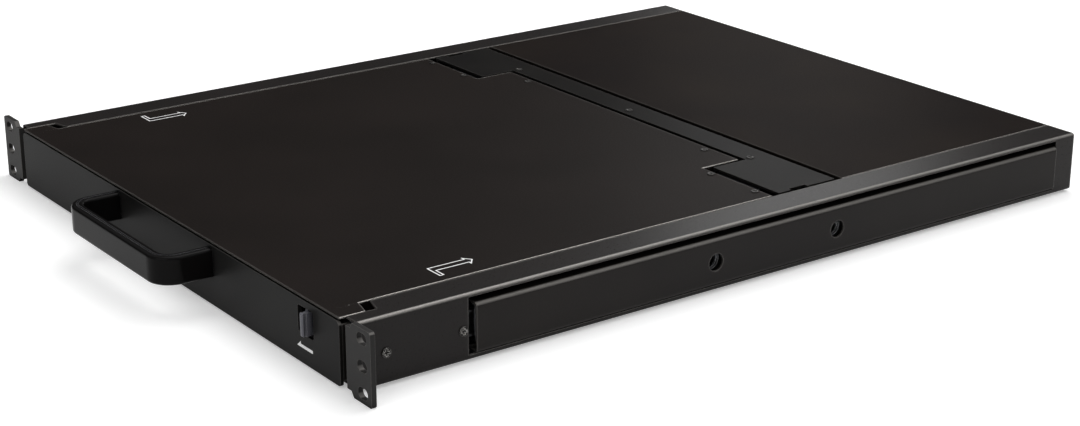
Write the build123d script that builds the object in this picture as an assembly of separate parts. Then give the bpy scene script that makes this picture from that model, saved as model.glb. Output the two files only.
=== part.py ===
from build123d import *
import os

os.makedirs("parts", exist_ok=True)

# A console drawer for a 19 inch rack, one unit high, drawn closed, in millimetres.
# X runs from left to right seen from the front, Y to the rear and Z up.
# The origin is the middle of the four rack slots, on the front face of the rack ears.

# Rack ears
panel_width = 482.6
unit_height = 43.7
slot_edge = 8.75
slot_spacing_z = 31.75
slot_length = 10.0
slot_width = 6.8
ear_flange = 20.55
ear_sheet = 3.2
ear_inner_drop = 3.4
ear_corner = 1.0
ear_screw_front = 22.5
leg_window_gap = 0.3
ear_screw_leg_gap = 3.2
leg_clearance = 0.35

# Chassis tub
chassis_front = 5.0
chassis_top_gap = 2.05
chassis_low_gap = 1.55
sheet = 1.2
bend_radius = 2.0
flange_width = 23.25
flange_step_width = 11.55
flange_step_y = 24.0
window_front = 76.5
window_rear_gap = 17.6
window_low_gap = 3.3
window_high_gap = 2.3
window_corner = 0.5
rear_bay = 196.1

# Ball slides
slide_top_gap = 6.4
slide_front_gap = 4.8
slide_rear_gap = 0.4
slide_proud = 1.15
slide_depth = 12.7
slide_travel = 400.0
outer_sheet = 1.5
member_sheet = 1.3
roll_radius = 2.6
race_gap = 2.2
ball_radius = 1.5
race_clearance = 0.05
cage_sheet = 0.6
cage_gap = 0.45
middle_setback = 3.0
middle_rear_setback = 5.0
flange_tip_gap = 2.0
inner_front = 60.0
access_radius = 5.5
access_gaps = (123.75, 24.25)
ball_pitch = 34.0
base_screw_inset = 36.0
base_screw_grip = 0.7
base_screw_head = 3.3

# Drawer tray and front panel
tray_run = 1.5
tray_wall_gap = 3.8
tray_rear_drop = 6.0
front_sheet = 2.0
front_overlap = 0.3
front_low_gap = 0.2
front_top_corner = 4.0
front_low_corner = 2.0

# Handle
handle_half = 66.0
handle_reach = 35.5
handle_strap = 8.0
handle_height = 18.0
handle_top_gap = 2.0
handle_corner = 16.0
handle_round = 2.0
handle_groove = 0.5

# Latch
latch_inset = 27.2
latch_slot_width = 17.0
latch_slot_height = 16.8
knob_proud = 5.4
knob_width = 3.2
knob_side_gap = 2.9
knob_groove = 0.9
latch_travel = 5.0
latch_sheet = 1.6

# Lid with the display
lid_side_gap = 1.2
lid_front = 0.7
lid_strip_gap = 0.2
lid_strip_rear = 17.4
lid_strip_slant = 3.2
lid_strip_sheet = 1.0
lid_strip_low_gap = 0.8
lid_body_front = 7.5
lid_depth = 16.0
lid_top_sheet = 1.5
bezel_sheet = 1.5
screen_side = 27.3
screen_front = 28.0
screen_aspect = 0.8
screen_tail = 54.6
panel_border_x = 10.2
panel_border_y = 13.0
glass_thickness = 1.6
backlight_depth = 7.6

# Lid hinge
hinge_setback = 17.0
hinge_drop = 8.8
barrel_radius = 6.8
shaft_radius = 3.0
shaft_clearance = 0.05
foot_width = 62.8
foot_lid_gap = 1.5
foot_notch = (2.7, 14.0)
foot_side_gap = 3.0
foot_front_gap = 7.0
bar_front_gap = 4.2
bar_depth = 19.8
cover_wall = 1.5
barrel_length = 40.0

# Rear cover
cover_front_gap = 5.0
cover_side_gap = 0.6

# Keyboard deck
deck_drop = 7.8
deck_sheet = 1.5
keyboard_side = 31.2
keyboard_gap = 15.0
key_gap = 1.6
key_head_room = 2.8
key_clearance = 0.5
key_travel = 2.2
pad_gap = 6.4
stem_radius = 2.3
stem_clearance = 0.3
pad_half = 35.0
pad_front = 47.0
pad_depth = 50.0
pad_button_depth = 14.0

# Slide releases on the deck
release_y = 96.0
release_travel = 6.0
release_half = 3.2
release_slot_half = 1.8

# Rear connectors and the boards behind them
supply_inset = 27.55
supply_width = 122.0
supply_depth = 103.0
supply_rear_gap = 32.0
supply_stand = 4.0
inlet_inset = 42.0
inlet_body = (26.8, 19.6)
inlet_flange = (31.0, 24.0)
inlet_height = 16.5
switch_spacing = 45.0
switch_body = (12.8, 19.0)
switch_flange = (15.4, 21.4)
panel_hole_gap = 0.2
rocker_tilt = 10.0
vent_pitch = 8.0
vent_width = 3.0
vent_height = 16.0
board_inset = 34.55
board_width = 155.0
board_depth = 101.5
board_rear_gap = 3.5
board_sheet = 1.6
board_stand = 4.6
video_inset = 40.0
video_hole = (17.6, 9.4)
video_post_x = 12.5
usb_inset = 90.0
usb_hole = (12.6, 11.4)

# Menu buttons below the screen
menu_button_xs = (40.0, 54.0, 68.0)
menu_radius = 3.2
menu_rim = 1.0

# Screws
screw_radius = 1.5
screw_head_radius = 2.6
screw_head_height = 0.6
side_screw_radius = 2.0
side_head_radius = 3.0
side_head_height = 0.9

# Widths worked out from the sizes above, from the middle outwards
slot_spacing_x = panel_width - 2 * slot_edge
chassis_half = panel_width / 2 - ear_flange
wall_in = chassis_half - sheet
leg_in = wall_in - ear_sheet
flange_inner = chassis_half - flange_width
flange_step_x = chassis_half - flange_step_width
rail_out = chassis_half + slide_proud
tray_half = rail_out - slide_depth
front_half = tray_half + front_overlap
middle_out = leg_in - leg_clearance
middle_in = middle_out - member_sheet
inner_tip = middle_in - 2 * cage_gap - cage_sheet
flange_tip = tray_half + flange_tip_gap
spacer_mid = (flange_tip + wall_in) / 2
lid_half = flange_inner - lid_side_gap
lid_strip_half = flange_step_x - lid_strip_gap
screen_width = 2 * (lid_half - screen_side)
foot_outer = lid_half - foot_lid_gap
foot_inner = foot_outer - foot_width
cut_inner = foot_inner - foot_side_gap
deck_half = tray_half - sheet - 0.2
key_pitch = (2 * (tray_half - keyboard_side) - pad_gap) / 19
release_x = (lid_half + tray_half) / 2 - 0.7
knuckle_outer = cut_inner - sheet - 0.3
knuckle_inner = knuckle_outer - 19
barrel_start = foot_inner + cover_wall + 0.5
pad_button_xs = ((-pad_half, -0.6), (0.6, pad_half))
latch_slot_x = (tray_half - latch_inset - latch_slot_width, tray_half - latch_inset)
knob_x = (latch_slot_x[1] - knob_side_gap - knob_width, latch_slot_x[1] - knob_side_gap)
latch_screw_xs = (latch_slot_x[1] + 5.0, latch_slot_x[1] + 14.0)
rear_screw_xs = (-flange_inner + 12, 0, flange_inner - 12)
supply_x = (supply_inset - wall_in, supply_inset - wall_in + supply_width)
board_x = (wall_in - board_inset - board_width, wall_in - board_inset)
inlet_x = supply_x[0] + inlet_inset
switch_x = inlet_x + switch_spacing
video_x = board_x[0] + video_inset
usb_x = board_x[0] + usb_inset

# Heights worked out, from the top down
chassis_top = unit_height / 2 - chassis_top_gap
chassis_bottom = chassis_low_gap - unit_height / 2
floor_top = chassis_bottom + sheet
flange_low = chassis_top - sheet
window_low = chassis_bottom + window_low_gap
window_high = chassis_top - window_high_gap
slide_high = chassis_top - slide_top_gap
slide_low = window_low
slide_mid_z = (slide_low + slide_high) / 2
outer_half_z = (slide_high - slide_low) / 2
middle_half_z = outer_half_z - outer_sheet - race_gap
inner_half_z = middle_half_z - member_sheet - race_gap
striker_low = slide_mid_z + middle_half_z + 1.2
lid_under = chassis_top - lid_top_sheet
lid_low = chassis_top - lid_depth
lid_wall_low = lid_low + bezel_sheet
glass_low = lid_wall_low
hinge_z = chassis_top - hinge_drop
knuckle_radius = hinge_z - lid_wall_low - 0.2
front_high = chassis_top - lid_strip_sheet - lid_strip_low_gap
front_low = chassis_bottom - front_low_gap
tray_wall_top = chassis_top - tray_wall_gap
tray_rear_top = tray_wall_top - tray_rear_drop
tray_low = floor_top + tray_run
tray_floor = tray_low + sheet
handle_high = front_high - handle_top_gap
handle_low = handle_high - handle_height
latch_slot_z = (tray_wall_top - 2.0 - latch_slot_height, tray_wall_top - 2.0)
knob_z = (latch_slot_z[0] + 2.2, latch_slot_z[1] - 0.6)
latch_mid_z = (knob_z[0] + knob_z[1]) / 2
deck_top = lid_low - deck_drop
deck_low = deck_top - deck_sheet
key_top = lid_low - key_head_room
key_low = deck_top - 0.2
sleeve_top = key_low - key_travel - 0.3
stem_low = sleeve_top - 2.0
plate_top = stem_low - key_travel - 0.3
board_low = floor_top + board_stand
board_top = board_low + board_sheet
video_z = board_top + 6.4
usb_z = board_top + 5.6
inlet_z = floor_top + inlet_height
rear_screw_z = flange_low - 5.5

# Places worked out, from the front back
slide_front = window_front + slide_front_gap
leg_rear = window_front - leg_window_gap
ear_screw_ys = (ear_screw_front, leg_rear - ear_screw_leg_gap)
pad_rear = pad_front + pad_depth
pad_button_front = pad_front - 3.0 - pad_button_depth
keyboard_front = pad_rear + keyboard_gap
screen_height = screen_width * screen_aspect
screen_rear = screen_front + screen_height
lid_rear = screen_rear + screen_tail
menu_button_y = (screen_rear + panel_border_y + lid_rear) / 2 - 5
hinge_y = lid_rear - hinge_setback
foot_front = hinge_y - barrel_radius + 0.3
cut_front = foot_front - foot_front_gap
bar_front = lid_rear + bar_front_gap
bar_rear = bar_front + bar_depth
tray_rear = bar_rear + cover_front_gap / 2
cover_front = bar_rear + cover_front_gap
chassis_rear = tray_rear + rear_bay
window_rear = chassis_rear - window_rear_gap
slide_rear = window_rear - slide_rear_gap
deck_front = front_sheet + sheet + 0.2
deck_rear = bar_front - 0.3
tail_radius = ((lid_rear - hinge_y) ** 2 + (chassis_top - hinge_z) ** 2) ** 0.5
well_floor = hinge_z - tail_radius - 1.1
well_front = hinge_y - tail_radius + 3.7
board_rear = chassis_rear - board_rear_gap
board_front = board_rear - board_depth
rocker_pivot_y = chassis_rear - 3.0
access_ys = tuple(tray_rear - gap for gap in access_gaps)
inner_screw_ys = (inner_front + 30.0, inner_front + 110.0) + access_ys
base_screw_ys = (slide_front + base_screw_inset, (slide_front + slide_rear) / 2,
                 slide_rear - base_screw_inset)

# Slide members and cages: at full travel a cage has rolled a quarter of it past its rail
middle_span = (slide_front + middle_setback, slide_rear - middle_rear_setback)
inner_span = (inner_front, tray_rear - sheet - 0.5)
outer_cage_span = (slide_front + slide_travel / 4 + 8.7, middle_span[1] - slide_travel / 4 - 3.5)
inner_cage_span = (middle_span[0] + slide_travel / 4 + 0.7, inner_span[1] - slide_travel / 4 - 3.0)

# Screw places in X and Y
lid_screws_xy = ((cut_inner - 28.5, lid_rear - 5.0), (cut_inner + 12.5, cut_front - 3.5),
                 (lid_half - 12.3, cut_front - 3.5))
bar_screws_xy = ((1 - foot_inner, bar_front + 4.5), (foot_inner - 1, bar_front + 4.5),
                 (0.0, bar_front + 6.5))


def block(x0, x1, y0, y1, z0, z1):
    centre = Pos((x0 + x1) / 2, (y0 + y1) / 2, (z0 + z1) / 2)
    return centre * Box(x1 - x0, y1 - y0, z1 - z0)


def rect(u0, u1, v0, v1, radius=0.0):
    centre = Pos((u0 + u1) / 2, (v0 + v1) / 2)
    if radius > 0:
        return centre * RectangleRounded(u1 - u0, v1 - v0, radius)
    return centre * Rectangle(u1 - u0, v1 - v0)


# A drawing in X and Z, run from y0 back to y1
def along_y(drawing, y0, y1):
    return extrude(Plane.XZ.offset(-y1) * drawing, y1 - y0)


# A drawing in Y and Z, run from x0 to x1
def along_x(drawing, x0, x1):
    return extrude(Plane.YZ.offset(x0) * drawing, x1 - x0)


# A drawing in X and Y, run from z0 up to z1
def along_z(drawing, z0, z1):
    return extrude(Plane.XY.offset(z0) * drawing, z1 - z0)


def rod_x(y, z, radius, x0, x1):
    return along_x(Pos(y, z) * Circle(radius), x0, x1)


def rod_y(x, z, radius, y0, y1):
    return along_y(Pos(x, z) * Circle(radius), y0, y1)


def rod_z(x, y, radius, z0, z1):
    return along_z(Pos(x, y) * Circle(radius), z0, z1)


def flip(shape):
    return mirror(shape, about=Plane.YZ)


def save(name, *shapes):
    solids = [solid for shape in shapes for solid in shape.solids()]
    export_step(Compound(solids), f"parts/{name}.step")


def save_pair(name, right):
    save(name + "_left", flip(right))
    save(name + "_right", right)


# A pan head screw that stands in the sheet below its head, pointing down
def screw_down(x, y, z_face, length, head_radius, head_height, radius):
    head = rod_z(x, y, head_radius, z_face, z_face + head_height)
    head = fillet(head.edges().group_by(Axis.Z)[-1], head_height * 0.45)
    arm = head_radius * 0.62
    slot = head_height * 0.8
    bar = head_radius * 0.24
    cross_top = z_face + head_height + 1
    head -= block(x - arm, x + arm, y - bar, y + bar, cross_top - 1 - slot, cross_top)
    head -= block(x - bar, x + bar, y - arm, y + arm, cross_top - 1 - slot, cross_top)
    return head + rod_z(x, y, radius, z_face - length, z_face)


# The same screw in a right hand wall, its head outwards
def screw_side(y, z, x_face, length):
    screw = screw_down(0, 0, 0, length, side_head_radius, side_head_height, side_screw_radius)
    return Pos(x_face, y, z) * Rot(0, 90, 0) * screw


def chassis_base():
    mid_z = (chassis_top + chassis_bottom) / 2
    height = chassis_top - chassis_bottom
    outer = RectangleRounded(2 * chassis_half, height, bend_radius)
    inner = RectangleRounded(2 * wall_in, height - 2 * sheet, bend_radius - sheet)
    mouth = Pos(0, height / 2) * Rectangle(2 * flange_inner, 2 * bend_radius)
    tub = along_y(Pos(0, mid_z) * (outer - inner - mouth), chassis_front, chassis_rear)
    step_rear = flange_step_y + lid_strip_slant
    step = make_face(Polyline(
        (-flange_step_x, chassis_front - 1), (flange_step_x, chassis_front - 1),
        (flange_step_x, flange_step_y), (flange_inner, step_rear), (-flange_inner, step_rear),
        (-flange_step_x, flange_step_y), close=True))
    tub -= along_z(step, flange_low - 0.1, chassis_top + 1)
    window = rect(window_front, window_rear, window_low, window_high, window_corner)
    tub -= along_x(window, wall_in - 1, chassis_half + 1)
    tub -= along_x(window, -chassis_half - 1, -wall_in + 1)
    for y in ear_screw_ys:
        tub -= rod_x(y, slide_mid_z, side_screw_radius + 0.1, -chassis_half - 1, chassis_half + 1)
    for x in (-spacer_mid, spacer_mid):
        for y in base_screw_ys:
            tub -= Pos(x, y) * sunk_head(0.05)
    return tub


# The cone of a flush screw head, as deep as the tub's floor
def sunk_head(grow):
    wide = base_screw_head + grow
    narrow = side_screw_radius + grow
    return Pos(0, 0, (chassis_bottom + floor_top) / 2) * Cone(wide, narrow, sheet)


def rack_ear():
    half = panel_width / 2
    top = unit_height / 2
    low = top - ear_inner_drop
    shoulder = chassis_half
    shape = make_face(Polyline(
        (leg_in, -low), (shoulder, -low), (shoulder + ear_inner_drop * 0.7, -top),
        (half - ear_corner, -top), (half, -top + ear_corner),
        (half, top - ear_corner), (half - ear_corner, top),
        (shoulder + ear_inner_drop * 0.7, top), (shoulder, low), (leg_in, low), close=True))
    slot_x = slot_spacing_x / 2
    for z in (-slot_spacing_z / 2, 0, slot_spacing_z / 2):
        shape -= Pos(slot_x, z) * SlotOverall(slot_length, slot_width)
    plate = along_y(shape, 0, ear_sheet)
    leg_half = min(-floor_top, flange_low) - (bend_radius - sheet) - 0.2
    leg = block(leg_in, wall_in, ear_sheet, leg_rear, -leg_half, leg_half)
    ear = plate + leg
    for y in ear_screw_ys:
        ear -= rod_x(y, slide_mid_z, side_screw_radius, leg_in - 1, wall_in + 1)
    return ear


# One C shaped slide member: flange tips at tip, web from web_a to web_b
def channel(tip, web_a, web_b, half_z, wall, y0, y1, round_radius):
    u0, u1 = min(tip, web_a), max(tip, web_b)
    full = rect(u0, u1, slide_mid_z - half_z, slide_mid_z + half_z)
    web_is_high = web_b > tip
    corners = full.vertices().group_by(Axis.X)[-1 if web_is_high else 0]
    full = fillet(corners, round_radius)
    hollow_z = half_z - wall
    if web_is_high:
        hollow = rect(tip - 1, web_a, slide_mid_z - hollow_z, slide_mid_z + hollow_z)
        inside = hollow.vertices().group_by(Axis.X)[-1]
    else:
        hollow = rect(web_b, tip + 1, slide_mid_z - hollow_z, slide_mid_z + hollow_z)
        inside = hollow.vertices().group_by(Axis.X)[0]
    hollow = fillet(inside, max(round_radius - wall, 0.3))
    return along_y(full - hollow, y0, y1)


def race(x, half_z, y0, y1):
    radius = ball_radius + race_clearance
    groove = rod_y(x, slide_mid_z + half_z, radius, y0 - 1, y1 + 1)
    return groove + rod_y(x, slide_mid_z - half_z, radius, y0 - 1, y1 + 1)


def outer_race_x():
    return (flange_tip + middle_out) / 2


def inner_race_x():
    return (tray_half + member_sheet + inner_tip) / 2


def outer_race_z():
    return outer_half_z - outer_sheet - race_gap / 2


def inner_race_z():
    return middle_half_z - member_sheet - race_gap / 2


def slide_outer():
    member = channel(flange_tip, rail_out - outer_sheet, rail_out, outer_half_z, outer_sheet,
                     slide_front, slide_rear, roll_radius)
    member -= race(outer_race_x(), outer_race_z(), slide_front, slide_rear)
    for y in access_ys:
        member -= rod_x(y, slide_mid_z, access_radius, wall_in, rail_out + 1)
    for y in base_screw_ys:
        member -= rod_z(spacer_mid, y, side_screw_radius, slide_low - 1,
                        slide_low + outer_sheet + 0.5)
    return member


def slide_middle():
    y0, y1 = middle_span
    member = channel(flange_tip, middle_in, middle_out, middle_half_z, member_sheet,
                     y0, y1, roll_radius - 1)
    member -= race(outer_race_x(), outer_race_z(), y0, y1)
    member -= race(inner_race_x(), inner_race_z(), y0, y1)
    for y in access_ys:
        member -= rod_x(y, slide_mid_z, access_radius - 1, middle_in - 1, middle_out + 1)
    return member


def slide_inner():
    y0, y1 = inner_span
    member = channel(inner_tip, tray_half, tray_half + member_sheet, inner_half_z, member_sheet,
                     y0, y1, roll_radius - 1)
    member -= race(inner_race_x(), inner_race_z(), y0, y1)
    for y in inner_screw_ys:
        member -= rod_x(y, slide_mid_z, screw_radius, tray_half - 1,
                        tray_half + member_sheet + 1)
    return member


# Ball cage: two strips with balls in round holes, joined by an upright strip
def ball_cage(race_x, race_z, tip, web_x, span):
    y0, y1 = span
    strip_low = race_z - cage_sheet / 2
    strip_high = race_z + cage_sheet / 2
    upright = rect(web_x, web_x + cage_sheet, -strip_high, strip_high)
    section = upright + rect(tip, web_x + cage_sheet, strip_low, strip_high)
    section += rect(tip, web_x + cage_sheet, -strip_high, -strip_low)
    cage = along_y(Pos(0, slide_mid_z) * section, y0, y1)
    for y in access_ys:
        cage -= rod_x(y, slide_mid_z, access_radius, web_x - 1, web_x + cage_sheet + 1)
    count = int((y1 - y0 - 10) // ball_pitch) + 1
    first = (y0 + y1 - (count - 1) * ball_pitch) / 2
    balls = []
    for number in range(count):
        y = first + number * ball_pitch
        for side in (-1, 1):
            z = slide_mid_z + side * race_z
            cage -= rod_z(race_x, y, ball_radius + race_clearance, z - 1, z + 1)
            balls.append(Pos(race_x, y, z) * Sphere(ball_radius))
    return [cage] + balls


def outer_cage():
    return ball_cage(outer_race_x(), outer_race_z(), flange_tip + 0.3,
                     middle_out + cage_gap, outer_cage_span)


def inner_cage():
    return ball_cage(inner_race_x(), inner_race_z(), tray_half + 0.8,
                     inner_tip + cage_gap, inner_cage_span)


def slide_spacer():
    x1 = wall_in - (bend_radius - sheet)
    strip = block(flange_tip + 1.2, x1, slide_front, slide_rear, floor_top, slide_low)
    for y in base_screw_ys:
        strip -= rod_z(spacer_mid, y, side_screw_radius, floor_top - 1, slide_low + 1)
    return strip


def base_screws():
    screws = []
    arm = base_screw_head * 0.62
    bar = base_screw_head * 0.2
    low = chassis_bottom - 1
    high = chassis_bottom + 0.8
    screw = sunk_head(0) + rod_z(0, 0, side_screw_radius, floor_top, slide_low + base_screw_grip)
    screw -= block(-arm, arm, -bar, bar, low, high) + block(-bar, bar, -arm, arm, low, high)
    for x in (-spacer_mid, spacer_mid):
        for y in base_screw_ys:
            screws.append(Pos(x, y) * screw)
    return screws


def ear_screws():
    right = [screw_side(y, slide_mid_z, chassis_half, chassis_half - leg_in) for y in ear_screw_ys]
    return right + [flip(screw) for screw in right]


def rear_cover():
    half = flange_inner - cover_side_gap
    cover = block(-half, half, cover_front, chassis_rear, flange_low, chassis_top)
    lip_low = flange_low - sheet
    for side in (-1, 1):
        x0, x1 = sorted((side * (half - sheet), side * (half + 9)))
        cover += block(x0, x1, cover_front + sheet, chassis_rear - 4, lip_low, flange_low)
    cover += block(-half, half, cover_front, cover_front + sheet, lid_low + 1, flange_low)
    rear_in = chassis_rear - sheet
    cover += block(-half, half, rear_in - sheet, rear_in, rear_screw_z - 3.5, flange_low)
    for x in rear_screw_xs:
        cover -= rod_y(x, rear_screw_z, screw_radius, rear_in - sheet - 1, rear_in + 1)
    return cover


def rear_panel():
    half = wall_in - 0.2
    drawing = rect(-half, half, floor_top + 0.1, flange_low - 0.1, 1.0)
    for x, body in ((inlet_x, inlet_body), (switch_x, switch_body)):
        hole = Rectangle(body[0] + 2 * panel_hole_gap, body[1] + 2 * panel_hole_gap)
        drawing -= Pos(x, inlet_z) * hole
    drawing -= Pos(video_x, video_z) * RectangleRounded(*video_hole, 1.5)
    drawing -= Pos(usb_x, usb_z) * Rectangle(*usb_hole)
    for x in (-video_post_x, video_post_x):
        drawing -= Pos(video_x + x, video_z) * Circle(1.7)
    for x in rear_screw_xs:
        drawing -= Pos(x, rear_screw_z) * Circle(screw_radius + 0.1)
    room = (video_x - 40) - (switch_x + 20)
    count = int(room / (1.5 * vent_pitch))
    for column in range(count):
        x = switch_x + 20 + room / 2 + (column - (count - 1) / 2) * vent_pitch
        drawing -= Pos(x, inlet_z - 2) * SlotOverall(vent_height, vent_width, rotation=90)
    panel = along_y(drawing, chassis_rear - sheet, chassis_rear)
    return panel + block(-half + 8, half - 8, chassis_rear - 14, chassis_rear - sheet,
                         floor_top, floor_top + sheet)


def rear_screws():
    screw = screw_down(0, 0, 0, 2 * sheet + 1.5, screw_head_radius, 1.2, screw_radius)
    turned = Rot(-90, 0, 0) * screw
    return [Pos(x, chassis_rear, rear_screw_z) * turned for x in rear_screw_xs]


# Mains inlet: a snap-in block with a shaped well and three flat blades
def power_inlet():
    z = inlet_z
    flange = along_y(Pos(inlet_x, z) * RectangleRounded(*inlet_flange, 1.5), chassis_rear,
                     chassis_rear + 2.0)
    body = along_y(Pos(inlet_x, z) * Rectangle(*inlet_body), chassis_rear - 22, chassis_rear)
    well = Polyline((-12.1, -8.2), (12.1, -8.2), (12.1, 3.6), (7.5, 8.2), (-7.5, 8.2),
                    (-12.1, 3.6), close=True)
    inlet = flange + body
    inlet -= along_y(Pos(inlet_x, z) * make_face(well), chassis_rear - 15, chassis_rear + 3)
    for x, dz in ((-7, -2), (0, 2), (7, -2)):
        inlet += block(inlet_x + x - 1, inlet_x + x + 1, chassis_rear - 15.5, chassis_rear - 1.5,
                       z + dz - 2, z + dz + 2)
    return inlet


def switch_frame():
    z = inlet_z
    across, high = switch_body
    frame = along_y(Pos(switch_x, z) * RectangleRounded(*switch_flange, 1.2), chassis_rear,
                    chassis_rear + 2.0)
    frame += along_y(Pos(switch_x, z) * Rectangle(across, high), chassis_rear - 14, chassis_rear)
    frame -= along_y(Pos(switch_x, z) * Rectangle(across - 2.4, high - 2.2), chassis_rear - 12,
                     chassis_rear + 3)
    return frame - rod_x(rocker_pivot_y, z, 1.05, switch_x - 6.0, switch_x + 6.0)


# The rocker rests tipped to one side and is pressed over to the other
def switch_rocker():
    profile = Polyline((-2.5, -5.0), (3.0, -7.0), (5.6, -7.0), (4.0, 0), (5.6, 7.0), (3.0, 7.0),
                       (-2.5, 5.0), close=True)
    rocker = along_x(make_face(profile), -4.8, 4.8) + rod_x(0, 0, 1.0, -5.8, 5.8)
    return Pos(switch_x, rocker_pivot_y, inlet_z) * Rot(-rocker_tilt, 0, 0) * rocker


def video_port():
    z = video_z
    panel_in = chassis_rear - sheet
    flange = along_y(Pos(video_x, z) * Rectangle(30.8, 12.4), panel_in - 1.0, panel_in)
    body = block(video_x - 15.4, video_x + 15.4, panel_in - 12, panel_in - 1, board_top, z + 6.2)
    shell = Polyline((-7.2, -3.9), (7.2, -3.9), (8.1, 3.9), (-8.1, 3.9), close=True)
    nose = along_y(Pos(video_x, z) * make_face(shell), panel_in, chassis_rear + 5.0)
    nose = fillet(nose.edges().filter_by(Axis.Y), 1.2)
    for row, count in ((-2.0, 5), (0.0, 5), (2.0, 5)):
        for number in range(count):
            x = video_x + (number - 2) * 2.3 + (0.5 if row == 0 else 0)
            nose -= rod_y(x, z + row, 0.5, chassis_rear + 2.0, chassis_rear + 6.0)
    port = flange + body + nose
    for x in (-video_post_x, video_post_x):
        post = along_y(Pos(video_x + x, z) * RegularPolygon(2.5, 6), chassis_rear,
                       chassis_rear + 4.5)
        post += rod_y(video_x + x, z, 1.6, panel_in - 0.5, chassis_rear + 0.5)
        post -= rod_y(video_x + x, z, 1.3, chassis_rear + 1.0, chassis_rear + 5.0)
        port += post
    return port


def usb_port():
    z = usb_z
    shell = block(usb_x - 6.0, usb_x + 6.0, chassis_rear - 17, chassis_rear + 0.4,
                  board_top, z + 5.4)
    well = Polyline((-4.2, -3.9), (4.2, -3.9), (4.2, 2.2), (2.6, 3.9), (-2.6, 3.9), (-4.2, 2.2),
                    close=True)
    port = shell - along_y(Pos(usb_x, z) * make_face(well), chassis_rear - 10, chassis_rear + 1)
    return port + block(usb_x - 2.8, usb_x + 2.8, chassis_rear - 11, chassis_rear - 2,
                        z - 1.6, z + 1.6)


def board_post_places():
    return [(x, y) for x in (board_x[0] + 5, board_x[1] - 5)
            for y in (board_front + 5, board_rear - 22)]


# The chips stand at places counted from the board's front left corner
def interface_board():
    board = block(*board_x, board_front, board_rear, board_low, board_top)
    chips = ((20, 29, 14, 14, 2), (65, 34, 20, 20, 2.4), (110, 24, 12, 18, 1.6),
             (135, 59, 16, 8, 8), (15, 69, 8, 22, 6), (80, 69, 24, 10, 3))
    for x, y, width, depth, height in chips:
        corner_x = board_x[0] + x
        corner_y = board_front + y
        board += block(corner_x, corner_x + width, corner_y, corner_y + depth,
                       board_top, board_top + height)
    for x, y in board_post_places():
        board -= rod_z(x, y, screw_radius + 0.1, board_low - 1, board_top + 1)
    return board


def board_standoffs():
    posts = []
    for x, y in board_post_places():
        post = rod_z(x, y, 3.0, floor_top, board_low)
        post += rod_z(x, y, screw_radius, board_low, board_top)
        posts.append(post + rod_z(x, y, 2.8, board_top, board_top + 1.4))
    return posts


# Mains supply: a vented sheet box with its board and coils inside
def supply_box():
    rear = chassis_rear - supply_rear_gap
    return *supply_x, rear - supply_depth, rear, floor_top, lid_low + 3


def power_supply():
    x0, x1, y0, y1, z0, z1 = supply_box()
    case = block(x0, x1, y0, y1, z0, z1) - block(x0 + 1, x1 - 1, y0 + 1, y1 - 1, z0 + 1, z1 - 1)
    slots = int((x1 - x0 - 24) / 8) + 1
    for number in range(slots):
        slot = Pos(x0 + 12 + number * 8, (y0 + y1) / 2) * SlotOverall(y1 - y0 - 30, 3, rotation=90)
        case -= along_z(slot, z1 - 2, z1 + 1)
    return case


def supply_board():
    x0, x1, y0, y1, z0, z1 = supply_box()
    low = z0 + supply_stand
    top = low + board_sheet
    board = block(x0 + 3, x1 - 3, y0 + 3, y1 - 3, low, top)
    board += block(x0 + 40, x0 + 72, y0 + 30, y0 + 60, top, z1 - 2.5)
    board += rod_z(x0 + 20, y0 + 40, 8.0, top, z1 - 3.0)
    board += rod_z(x0 + 95, y0 + 30, 6.0, top, z1 - 4.0)
    board += rod_z(x0 + 95, y0 + 50, 6.0, top, z1 - 4.0)
    for x in (x0 + 8, x1 - 8):
        for y in (y0 + 8, y1 - 8):
            board += rod_z(x, y, 3.0, z0 + 1, low)
    return board


# A fixed stop on the right ear's leg, beside the latch nose
def latch_striker():
    base = block(leg_in - 0.8, leg_in, 8.0, 30.0, striker_low, tray_wall_top)
    return base + block(tray_half + 2.8, leg_in - 0.8, 16.5, 19.0, striker_low, tray_wall_top)


def front_panel():
    face = rect(-front_half, front_half, front_low, front_high)
    upper = face.vertices().group_by(Axis.Y)[-1]
    face = fillet(upper, front_top_corner)
    low = face.vertices().group_by(Axis.Y)[0]
    face = fillet(low, front_low_corner)
    panel = along_y(face, 0, front_sheet)
    panel -= latch_opening(0)
    for x, z in handle_screws_xz():
        panel -= rod_y(x, z, 2.1, -1, front_sheet + 1)
    return panel


def latch_opening(grow):
    opening = rect(latch_slot_x[0] - grow, latch_slot_x[1] + grow, latch_slot_z[0] - grow,
                   latch_slot_z[1] + grow, 1.5)
    return along_y(opening, -1, front_sheet + sheet + 1)


def handle_screws_xz():
    x = handle_half - handle_strap / 2
    z0 = handle_low + (handle_high - handle_low) * 0.25
    z1 = handle_low + (handle_high - handle_low) * 0.75
    return [(side * x, z) for side in (-1, 1) for z in (z0, z1)]


def handle_outline(inset):
    outline = rect(-handle_half + inset, handle_half - inset, -handle_reach + inset, 0)
    front = outline.vertices().group_by(Axis.Y)[0]
    return fillet(front, handle_corner - inset)


def handle():
    strap = handle_outline(0) - handle_outline(handle_strap)
    grip = along_z(strap, handle_low, handle_high)
    rims = grip.edges().group_by(Axis.Z)
    rims = [edge for edge in rims[0] + rims[-1] if abs(edge.center().Y) > 0.01]
    grip = fillet(rims, handle_round)
    middle = handle_strap / 2
    line = handle_outline(middle - 0.5) - handle_outline(middle + 0.5)
    grip -= along_z(line, handle_high - handle_groove, handle_high + 1)
    for x, z in handle_screws_xz():
        grip -= rod_y(x, z, 2.0, -12, 1)
    return grip


def handle_screws():
    back = front_sheet + sheet
    screws = []
    for x, z in handle_screws_xz():
        head = rod_y(x, z, 3.6, back, back + 2.2)
        screws.append(head + rod_y(x, z, 2.0, -11.5, back))
    return screws


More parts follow.
